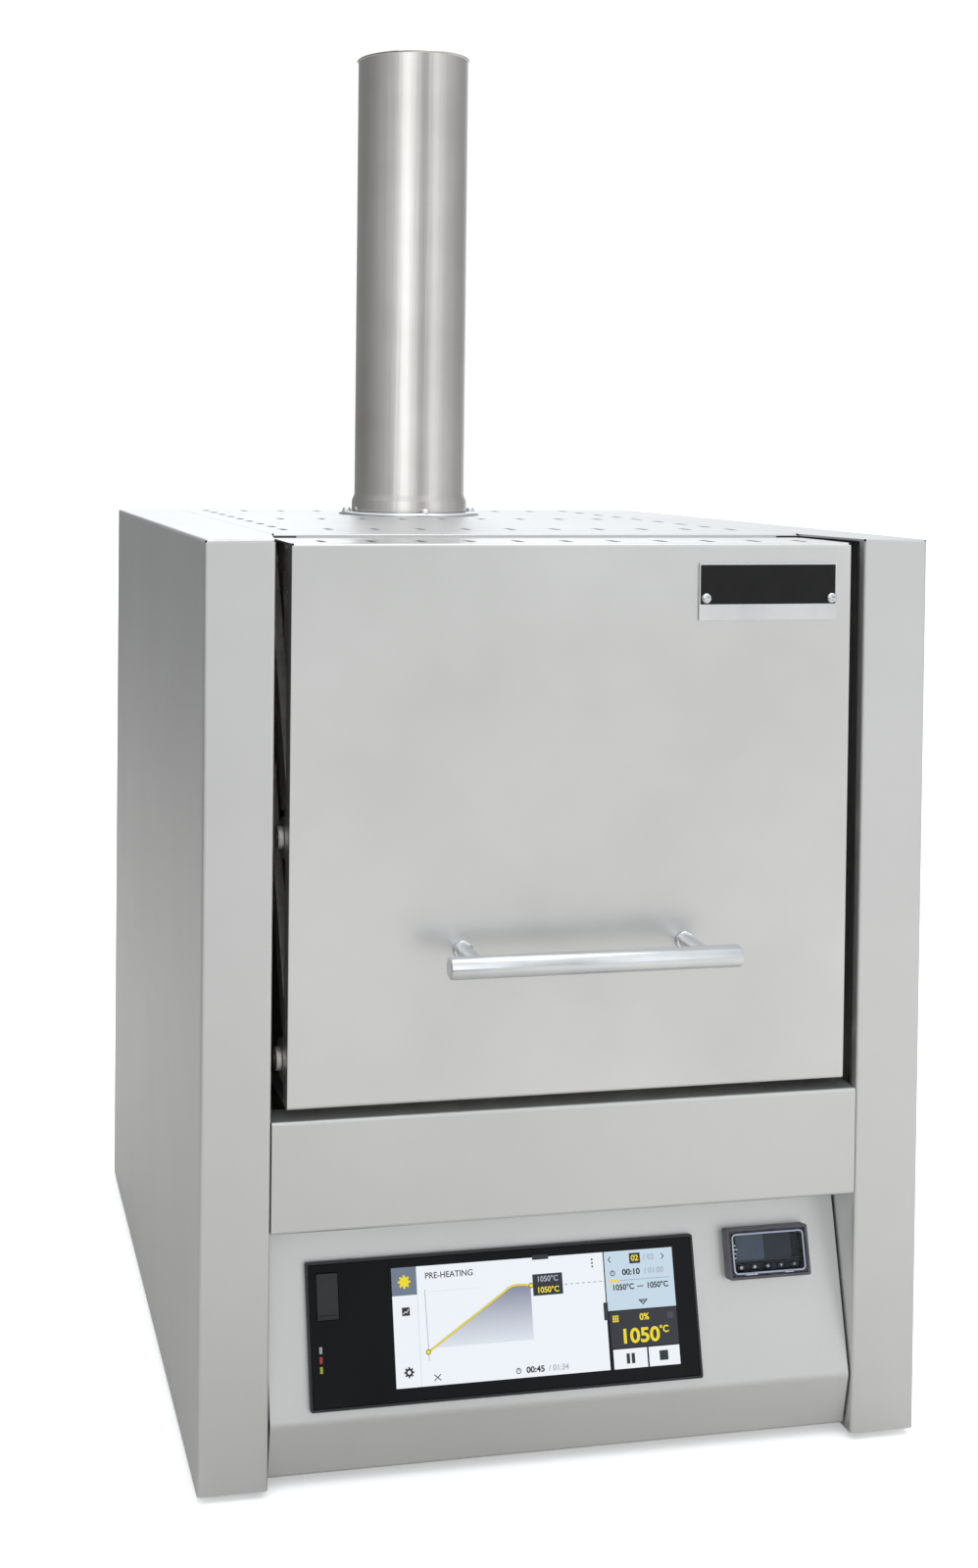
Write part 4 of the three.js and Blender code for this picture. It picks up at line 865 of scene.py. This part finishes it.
NOSE_RISE, NOSE_RUN = 103.5, 26.5
NOSE_FOOT = (0, -0.20725, 0.0375)
LEAN = math.atan2(NOSE_RUN, NOSE_RISE)
NOSE = Matrix.Translation(NOSE_FOOT) @ Matrix.Rotation(math.pi / 2 - LEAN, 4, "X")


def lay_on_nose(thing):
    """Puts a piece drawn in millimetres along and up the nose, standing out of it, in place."""
    thing.data.transform(Matrix.Scale(MM, 4))
    thing.data.transform(NOSE)
    return thing


# Controller: a black moulded frame round a printed glass with a bright colour display, and a
# hinged flap over a small socket at its right.
FRAME_EDGE = 0.3 * MM
GLASS_EDGE = 0.2 * MM
FLAP_EDGE = 0.25 * MM
SOCKET_EDGE = 0.15 * MM


def moulded_black():
    """Moulded ABS: black, kept from shining by a fine even texture."""
    finish, tree, surface = new_material("moulded black ABS", "#17181B", 0.0, 0.45)
    place_in = mottle(tree, surface, 10, "#141518", "#1C1D20")
    grain(tree, surface, place_in, 0.4, 0.02)
    return finish


def printed_glass():
    """Glass printed black from behind: deep black under a clear gloss."""
    finish, tree, surface = new_material("black-printed glass", "#101114", 0.0, 0.06)
    mottle(tree, surface, 70, "#0E0F11", "#141518")
    surface.inputs["Specular IOR Level"].default_value = 0.15
    return finish


abs_black = moulded_black()
glass = printed_glass()
refined("controller_housing", "controller_frame", "casing", "black_plastic", abs_black, FRAME_EDGE)
refined("controller_glass", "controller_front_glass", "casing", "glass", glass, GLASS_EDGE)
refined("usb_flap", "usb_cover_flap", "usb_cover", "black_plastic", abs_black, FLAP_EDGE)
refined("usb_socket", "usb_socket_shell", "casing", "zinc_steel", zinc_steel, SOCKET_EDGE)


UNLIT = "#1A1B1E"
GLOW = 0.92
PIXEL = 0.6 * MM
SHADE_LOW, SHADE_HIGH = 0.0640, 0.0965


def shine(tree, surface, tone, strength=GLOW):
    """Lights a dark surface from within, in one tone."""
    tree.links.new(tone.outputs["Color"], surface.inputs["Emission Color"])
    surface.inputs["Base Color"].default_value = linear(UNLIT)
    surface.inputs["Emission Strength"].default_value = strength


def lit(name, color, strength=GLOW):
    """Display colour: a lit field behind glass, with a grain as fine as its pixels."""
    finish, tree, surface = new_material(name, color, 0.0, 0.15)
    place_in = add_node(tree, "ShaderNodeTexCoord").outputs["Object"]
    inputs = {"Vector": place_in, "Scale": 1 / PIXEL, "Detail": 0.0}
    pixel = add_node(tree, "ShaderNodeTexNoise", inputs=inputs)
    tone = add_node(tree, "ShaderNodeValToRGB", inputs={"Fac": pixel.outputs["Fac"]})
    bright = linear(color)
    tone.color_ramp.elements[0].color = tuple(c * 0.97 for c in bright[:3]) + (1.0,)
    tone.color_ramp.elements[1].color = bright
    shine(tree, surface, tone, strength)
    return finish


def under_curve():
    """The shaded field under the curve: blue-grey at the top that fades out downwards."""
    finish, tree, surface = new_material("display shade", "#C8CDE0", 0.0, 0.15)
    place_in = add_node(tree, "ShaderNodeTexCoord").outputs["Object"]
    parts = add_node(tree, "ShaderNodeSeparateXYZ", inputs={"Vector": place_in})
    inputs = {"Value": parts.outputs["Z"], "From Min": SHADE_LOW, "From Max": SHADE_HIGH}
    height = add_node(tree, "ShaderNodeMapRange", inputs=inputs)
    tone = add_node(tree, "ShaderNodeValToRGB", inputs={"Fac": height.outputs["Result"]})
    tone.color_ramp.elements[0].color = linear("#F2F8FF")
    tone.color_ramp.elements[1].color = linear("#8C90A6")
    shine(tree, surface, tone)
    return finish


SCREEN_LEFT, SCREEN_RIGHT = -98.0, 66.1
SCREEN_LOW, SCREEN_HIGH = 14.4, 75.9
LAYER = 0.03
GLASS_TOP = 3.2
FONT_PER_HEIGHT = 1.4
colors = {
    "white": lit("display white", "#F4F9FF"),
    "tile": lit("display slate", "#6E7A8C"),
    "pale": lit("display pale blue", "#C9DDEB"),
    "line": lit("display grey", "#A9B2BC"),
    "ink": lit("display ink", "#16181C"),
    "night": lit("display night", "#1B1E29"),
    "slate": lit("display dark grey", "#3A3F46"),
    "yellow": lit("display yellow", "#F5DE00"),
    "shade": under_curve(),
}
drawn = []


def spot(across, down):
    """A place on the display, as shares of its width and of its height from the top."""
    return (
        SCREEN_LEFT + across * (SCREEN_RIGHT - SCREEN_LEFT),
        SCREEN_HIGH - down * (SCREEN_HIGH - SCREEN_LOW),
    )


def keep(thing, color):
    """Lays a drawn shape on the glass in its colour, as one more of the display's."""
    thing.data.materials.clear()
    thing.data.materials.append(colors[color])
    lay_on_nose(thing)
    drawn.append(thing)


def field(left, right, top, bottom, layer, color):
    """A filled rectangle on the display. A higher layer covers a lower one."""
    u0, v1 = spot(left, top)
    u1, v0 = spot(right, bottom)
    low = GLASS_TOP + layer * LAYER
    keep(slab((u0, v0, low), (u1, v1, low + LAYER)), color)


def disc(across, down, radius, layer, color, sides):
    u, v = spot(across, down)
    low = GLASS_TOP + layer * LAYER
    bpy.ops.object.select_all(action="DESELECT")
    bpy.ops.mesh.primitive_cylinder_add(
        vertices=sides, radius=radius, depth=LAYER, location=(u, v, low + LAYER / 2)
    )
    bpy.ops.object.transform_apply(location=True)
    keep(bpy.context.object, color)


def stroke(points, width, layer, color):
    """A drawn line through places on the display, of one width in millimetres."""
    half = width / 2
    low = GLASS_TOP + layer * LAYER
    places = [Vector(spot(*p)) for p in points]
    for start, end in zip(places, places[1:]):
        run = end - start
        piece = slab((-half, -half, low), (run.length + half, half, low + LAYER))
        piece.data.transform(Matrix.Rotation(math.atan2(run.y, run.x), 4, "Z"))
        piece.data.transform(Matrix.Translation((start.x, start.y, 0)))
        keep(piece, color)


def number(text, across, down, size, layer, color, bold=0.03, wide=1.0):
    """Figures centred on a place, of one height in millimetres, made bolder and wider."""
    u, v = spot(across, down)
    bpy.ops.object.select_all(action="DESELECT")
    bpy.ops.object.text_add()
    thing = bpy.context.object
    thing.data.body = text
    thing.data.size = size * FONT_PER_HEIGHT
    thing.data.align_x = "CENTER"
    thing.data.align_y = "CENTER"
    thing.data.extrude = LAYER / 2
    thing.data.offset = bold * size
    bpy.ops.object.convert(target="MESH")
    thing = bpy.context.object
    thing.data.transform(Matrix.Diagonal((wide, 1, 1, 1)))
    thing.data.transform(Matrix.Translation((u, v, GLASS_TOP + (layer + 0.5) * LAYER)))
    keep(thing, color)


def dots_round(across, down, reach_across, reach_down, radius, color):
    """Eight dots on a ring round a place."""
    for step in range(8):
        angle = step * math.pi / 4
        x = across + reach_across * math.cos(angle)
        y = down + reach_down * math.sin(angle)
        disc(x, y, radius, 2, color, 8)


def clock(across, down, hand_end, face):
    """A small clock face with one hand."""
    disc(across, down, 1.5, 1, "ink", 20)
    disc(across, down, 1.05, 2, face, 20)
    stroke([(across, down), (across, hand_end)], 0.4, 3, "ink")


def draw_left_column():
    field(0.0, 0.086, 0.0, 1.0, 0, "white")
    field(0.0, 0.086, 0.0, 0.235, 1, "tile")
    disc(0.043, 0.122, 2.6, 3, "yellow", 20)
    dots_round(0.043, 0.122, 0.0185, 0.049, 0.62, "yellow")
    field(0.031, 0.058, 0.335, 0.405, 1, "ink")
    stroke([(0.035, 0.388), (0.042, 0.37), (0.047, 0.38), (0.054, 0.352)], 0.35, 2, "white")
    disc(0.046, 0.874, 2.1, 1, "ink", 20)
    dots_round(0.046, 0.874, 0.0145, 0.038, 0.55, "ink")
    disc(0.046, 0.874, 1.0, 3, "white", 16)


def draw_chart():
    field(0.086, 0.748, 0.0, 1.0, 0, "white")
    field(0.0855, 0.0875, 0.0, 1.0, 1, "pale")
    number("PRE-HEATING", 0.2, 0.087, 3.2, 1, "slate", 0.02)
    for down in (0.055, 0.085, 0.115):
        disc(0.708, down, 0.55, 1, "ink", 12)
    stroke([(0.113, 0.2), (0.117, 0.79)], 0.4, 1, "line")
    stroke([(0.125, 0.218), (0.31, 0.218)], 0.15, 1, "pale")
    draw_shade()
    curve = [(0.115, 0.719)]
    curve += [(0.115 + 0.275 * t, 0.719 - 0.448 * t) for t in (0.25, 0.5, 0.75, 1.0)]
    curve += [(0.405, 0.243), (0.42, 0.228), (0.438, 0.222), (0.462, 0.225), (0.485, 0.234)]
    stroke(curve, 1.1, 3, "slate")
    stroke(curve, 0.85, 4, "yellow")
    for across, down in ((0.115, 0.719), (0.486, 0.234)):
        disc(across, down, 1.45, 5, "slate", 20)
        disc(across, down, 1.1, 6, "yellow", 16)
    field(0.492, 0.598, 0.143, 0.233, 7, "night")
    field(0.492, 0.598, 0.233, 0.325, 7, "ink")
    number("1050°C", 0.545, 0.188, 2.9, 8, "line")
    number("1050°C", 0.545, 0.281, 3.0, 8, "yellow", 0.035)
    for step in range(7):
        left = 0.604 + step * 0.0207
        field(left, left + 0.012, 0.243, 0.251, 1, "line")
    clock(0.424, 0.94, 0.923, "white")
    number("00:45", 0.484, 0.94, 3.1, 1, "ink", 0.045, 1.1)
    number("/ 01:34", 0.566, 0.94, 3.0, 1, "line")
    stroke([(0.132, 0.957), (0.153, 0.912)], 0.5, 1, "ink")
    stroke([(0.132, 0.912), (0.153, 0.957)], 0.5, 2, "ink")
    field(0.495, 0.553, -0.02, 0.02, 5, "ink")
    field(0.738, 0.754, 0.43, 0.58, 5, "ink")


def draw_shade():
    """The field between the curve and the base line, as one thin plate."""
    low = GLASS_TOP + LAYER
    outline = [(0.2, 0.58), (0.39, 0.271), (0.405, 0.243), (0.42, 0.228), (0.438, 0.222),
               (0.462, 0.225), (0.484, 0.234), (0.484, 0.69), (0.135, 0.69)]
    bpy.ops.object.select_all(action="DESELECT")
    bpy.ops.mesh.primitive_circle_add(vertices=len(outline), fill_type="NGON")
    thing = bpy.context.object
    for corner, (across, down) in zip(thing.data.vertices, outline):
        corner.co = (*spot(across, down), low)
    bpy.ops.object.mode_set(mode="EDIT")
    bpy.ops.mesh.select_all(action="SELECT")
    bpy.ops.mesh.extrude_region_move(TRANSFORM_OT_translate={"value": (0, 0, LAYER)})
    bpy.ops.mesh.select_all(action="SELECT")
    bpy.ops.mesh.normals_make_consistent(inside=False)
    bpy.ops.object.mode_set(mode="OBJECT")
    keep(thing, "shade")


def draw_right_column():
    field(0.752, 1.0, 0.0, 0.505, 0, "pale")
    stroke([(0.774, 0.048), (0.767, 0.07), (0.774, 0.092)], 0.5, 1, "ink")
    stroke([(0.96, 0.048), (0.967, 0.07), (0.96, 0.092)], 0.5, 1, "ink")
    field(0.843, 0.882, 0.026, 0.115, 1, "ink")
    number("02", 0.8625, 0.071, 3.1, 2, "yellow", 0.04)
    number("/ 02", 0.913, 0.071, 3.0, 1, "line")
    clock(0.779, 0.187, 0.17, "pale")
    number("00:10", 0.846, 0.187, 3.1, 1, "ink", 0.045, 1.1)
    number("/ 01:00", 0.929, 0.187, 3.0, 1, "line")
    field(0.762, 0.985, 0.25, 0.257, 1, "line")
    field(0.762, 0.8, 0.244, 0.263, 2, "yellow")
    number("1050°C", 0.814, 0.313, 3.0, 1, "ink", 0.04)
    stroke([(0.866, 0.313), (0.886, 0.313)], 0.5, 1, "ink")
    number("1050°C", 0.938, 0.313, 3.0, 1, "ink", 0.04)
    stroke([(0.868, 0.43), (0.896, 0.43), (0.882, 0.468), (0.868, 0.43)], 0.5, 1, "ink")
    stroke([(0.875, 0.442), (0.889, 0.442)], 0.5, 2, "ink")
    field(0.757, 1.0, 0.512, 0.825, 0, "night")
    for row in range(3):
        for column in range(3):
            left = 0.768 + column * 0.0075
            top = 0.548 + row * 0.02
            field(left, left + 0.0062, top, top + 0.0155, 1, "yellow")
    number("0%", 0.882, 0.577, 3.4, 1, "yellow", 0.04)
    field(0.965, 0.987, 0.552, 0.606, 1, "slate")
    number("1050", 0.862, 0.735, 7.5, 1, "yellow", 0.035, 1.12)
    number("°C", 0.95, 0.695, 3.6, 1, "yellow", 0.04)
    field(0.762, 0.883, 0.835, 1.0, 0, "white")
    field(0.889, 1.0, 0.835, 1.0, 0, "white")
    for left in (0.808, 0.826):
        field(left, left + 0.012, 0.874, 0.96, 1, "ink")
    field(0.927, 0.958, 0.872, 0.955, 1, "ink")


draw_left_column()
draw_chart()
draw_right_column()
select_only(drawn[0])
for thing in drawn[1:]:
    thing.select_set(True)
bpy.ops.object.join()
display = bpy.context.object
display.name = "controller_display"
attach(display, "casing")


# Status marks: three small printed lamps at the left of the glass, white, red and yellow from
# the top down.
MARK_LEFT, MARK_RIGHT = -140.0, -138.4
MARK_HALF = 1.7
for word, color, height in (
    ("top", "#D8DCE0", 37.0),
    ("middle", "#E8402C", 32.0),
    ("low", "#D8E02A", 27.0),
):
    low, high = height - MARK_HALF, height + MARK_HALF
    mark = slab((MARK_LEFT, low, GLASS_TOP), (MARK_RIGHT, high, GLASS_TOP + LAYER))
    lay_on_nose(mark)
    lamp = lit(f"status mark {word}", color, strength=0.4)
    place(mark, f"status_mark_{word}", "casing", "glass", lamp)


# Limiter: a grey moulded housing with a dark window, five keys and a clear hinged cover. The two
# fields on its window are painted reflection, laid on as thin prints; its signs are thin prints.
CASE_EDGE = 0.4 * MM
WINDOW_EDGE = 0.2 * MM
COVER_EDGE = 0.25 * MM
KEY_EDGE = 0.2 * MM


def moulded_grey():
    """Moulded polycarbonate: dark violet grey, finely textured."""
    finish, tree, surface = new_material("moulded grey polycarbonate", "#4E4B54", 0.0, 0.42)
    place_in = mottle(tree, surface, 8, "#47444D", "#56535C")
    grain(tree, surface, place_in, 0.35, 0.02)
    return finish


def dark_window():
    """Tinted plastic: smooth and near black, slightly blue."""
    finish, tree, surface = new_material("smoked window", "#171A20", 0.0, 0.12)
    mottle(tree, surface, 20, "#14171C", "#1C2028")
    surface.inputs["Specular IOR Level"].default_value = 0.25
    return finish


def clear_cover():
    """Clear polycarbonate: seen only by its edges and highlights."""
    finish, tree, surface = new_material("clear polycarbonate", "#F4F8FA", 0.0, 0.03)
    mottle(tree, surface, 30, "#F0F5F8", "#FAFCFD")
    surface.inputs["Transmission Weight"].default_value = 1.0
    surface.inputs["IOR"].default_value = 1.12
    surface.inputs["Specular IOR Level"].default_value = 0.3
    return finish


grey_case = moulded_grey()
window = dark_window()
clear = clear_cover()
refined("limiter_housing", "limiter_case", "casing", "grey_plastic", grey_case, CASE_EDGE, 3)
refined("limiter_display", "limiter_window", "casing", "dark_window", window, WINDOW_EDGE)
refined("limiter_cover", "limiter_clear_cover", "limiter_lid", "clear", clear, COVER_EDGE)
for index in range(1, 6):
    node, name = f"limiter_key_{index}", f"limiter_key_cap_{index}"
    refined(node, name, f"key_{index}", "black_plastic", abs_black, KEY_EDGE)

LCD = 3.3
COVER_FACE = 6.4
KEY_TOP = 3.7
KEY_FIRST, KEY_PITCH, KEY_LINE = 107.05, 8.1, 62.04
SIGN_RADIUS = 0.9
PRINT = 0.08


def printed(name, color):
    """One colour, for flat ink, for a segment of a liquid crystal and for painted reflection."""
    finish, tree, surface = new_material(name, color, 0.0, 0.5)
    mottle(tree, surface, 6, color, color)
    return finish


def limiter_print(name, left, right, low, high, base, finish, body="casing"):
    """A thin printed rectangle on the limiter, from a base height outwards."""
    thing = slab((left, low, base), (right, high, base + PRINT))
    lay_on_nose(thing)
    place(thing, name, body, "dark_window", finish)


# The slate field at the left and the dark one at the right are painted reflection. The slate line
# under them is print.
reflection_and_line_slate = printed("slate painted reflection and line", "#4C5663")
painted_reflection_dark = printed("dark painted reflection", "#2A2E39")
pale_print = printed("pale screen print", "#C9CED6")
limiter_print("limiter_painted_reflection_left", 104.6, 121.6, 65.9, 79.4, LCD, reflection_and_line_slate)
limiter_print("limiter_painted_reflection_right", 121.6, 138.2, 65.9, 79.4, LCD, painted_reflection_dark)
limiter_print("limiter_lcd_line", 102.6, 144.0, 65.2, 65.5, LCD, reflection_and_line_slate)
DASH_HEIGHT = 0.75
for index, low in enumerate((73.6, 71.5, 69.2, 66.9)):
    name = f"limiter_dash_{index + 1}"
    limiter_print(name, 102.5, 105.6, low, low + DASH_HEIGHT, LCD, pale_print)

for index, (sides, degrees) in enumerate(((16, 0), (16, 0), (5, 0), (3, 180), (3, 0))):
    bpy.ops.object.select_all(action="DESELECT")
    bpy.ops.mesh.primitive_cylinder_add(
        vertices=sides,
        radius=SIGN_RADIUS,
        depth=PRINT,
        location=(KEY_FIRST + KEY_PITCH * index, KEY_LINE, KEY_TOP + PRINT / 2),
        rotation=(0, 0, math.radians(degrees)),
    )
    bpy.ops.object.transform_apply(location=True, rotation=True)
    sign = lay_on_nose(bpy.context.object)
    place(sign, f"limiter_key_sign_{index + 1}", f"key_{index + 1}", "dark_window", pale_print)

RIM_WIDTH, RIM_HEIGHT = 43.9, 21.9
RIM_CENTRE = (123.25, 69.8, COVER_FACE)
RIM_CORNER, RIM_LINE, RIM_DEPTH = 2.6, 0.9, 0.12
bpy.ops.object.select_all(action="DESELECT")
bpy.ops.mesh.primitive_plane_add(size=1)
rim = bpy.context.object
rim.data.transform(Matrix.Diagonal((RIM_WIDTH, RIM_HEIGHT, 1, 1)))
rim.data.transform(Matrix.Translation(RIM_CENTRE))
bpy.ops.object.mode_set(mode="EDIT")
bpy.ops.mesh.select_all(action="SELECT")
bpy.ops.mesh.bevel(offset=RIM_CORNER, segments=6, affect="VERTICES")
bpy.ops.mesh.select_all(action="SELECT")
bpy.ops.mesh.inset(thickness=RIM_LINE)
bpy.ops.mesh.delete(type="FACE")
bpy.ops.mesh.select_all(action="SELECT")
bpy.ops.mesh.extrude_region_move(TRANSFORM_OT_translate={"value": (0, 0, RIM_DEPTH)})
bpy.ops.mesh.select_all(action="SELECT")
bpy.ops.mesh.normals_make_consistent(inside=False)
bpy.ops.object.mode_set(mode="OBJECT")
lay_on_nose(rim)
edge_print = printed("frosted cover edge", "#A4AFC0")
place(rim, "limiter_cover_rim", "limiter_lid", "clear", edge_print)
for index, (left, right) in enumerate(((108.4, 115.4), (132.4, 137.4))):
    limiter_print(
        f"limiter_lug_{index + 1}", left, right, 58.3, 59.3, COVER_FACE, pale_print, "limiter_lid"
    )


# Power entry at the back: a moulded inlet with flat blades and a rocker switch. Both are assumed,
# since the photo doesn't show the back.
INLET_EDGE = 0.3 * MM
refined("power_inlet", "power_inlet_body", "casing", "black_plastic", abs_black, INLET_EDGE)
refined("power_switch", "power_rocker_cap", "rocker", "black_plastic", abs_black, INLET_EDGE)
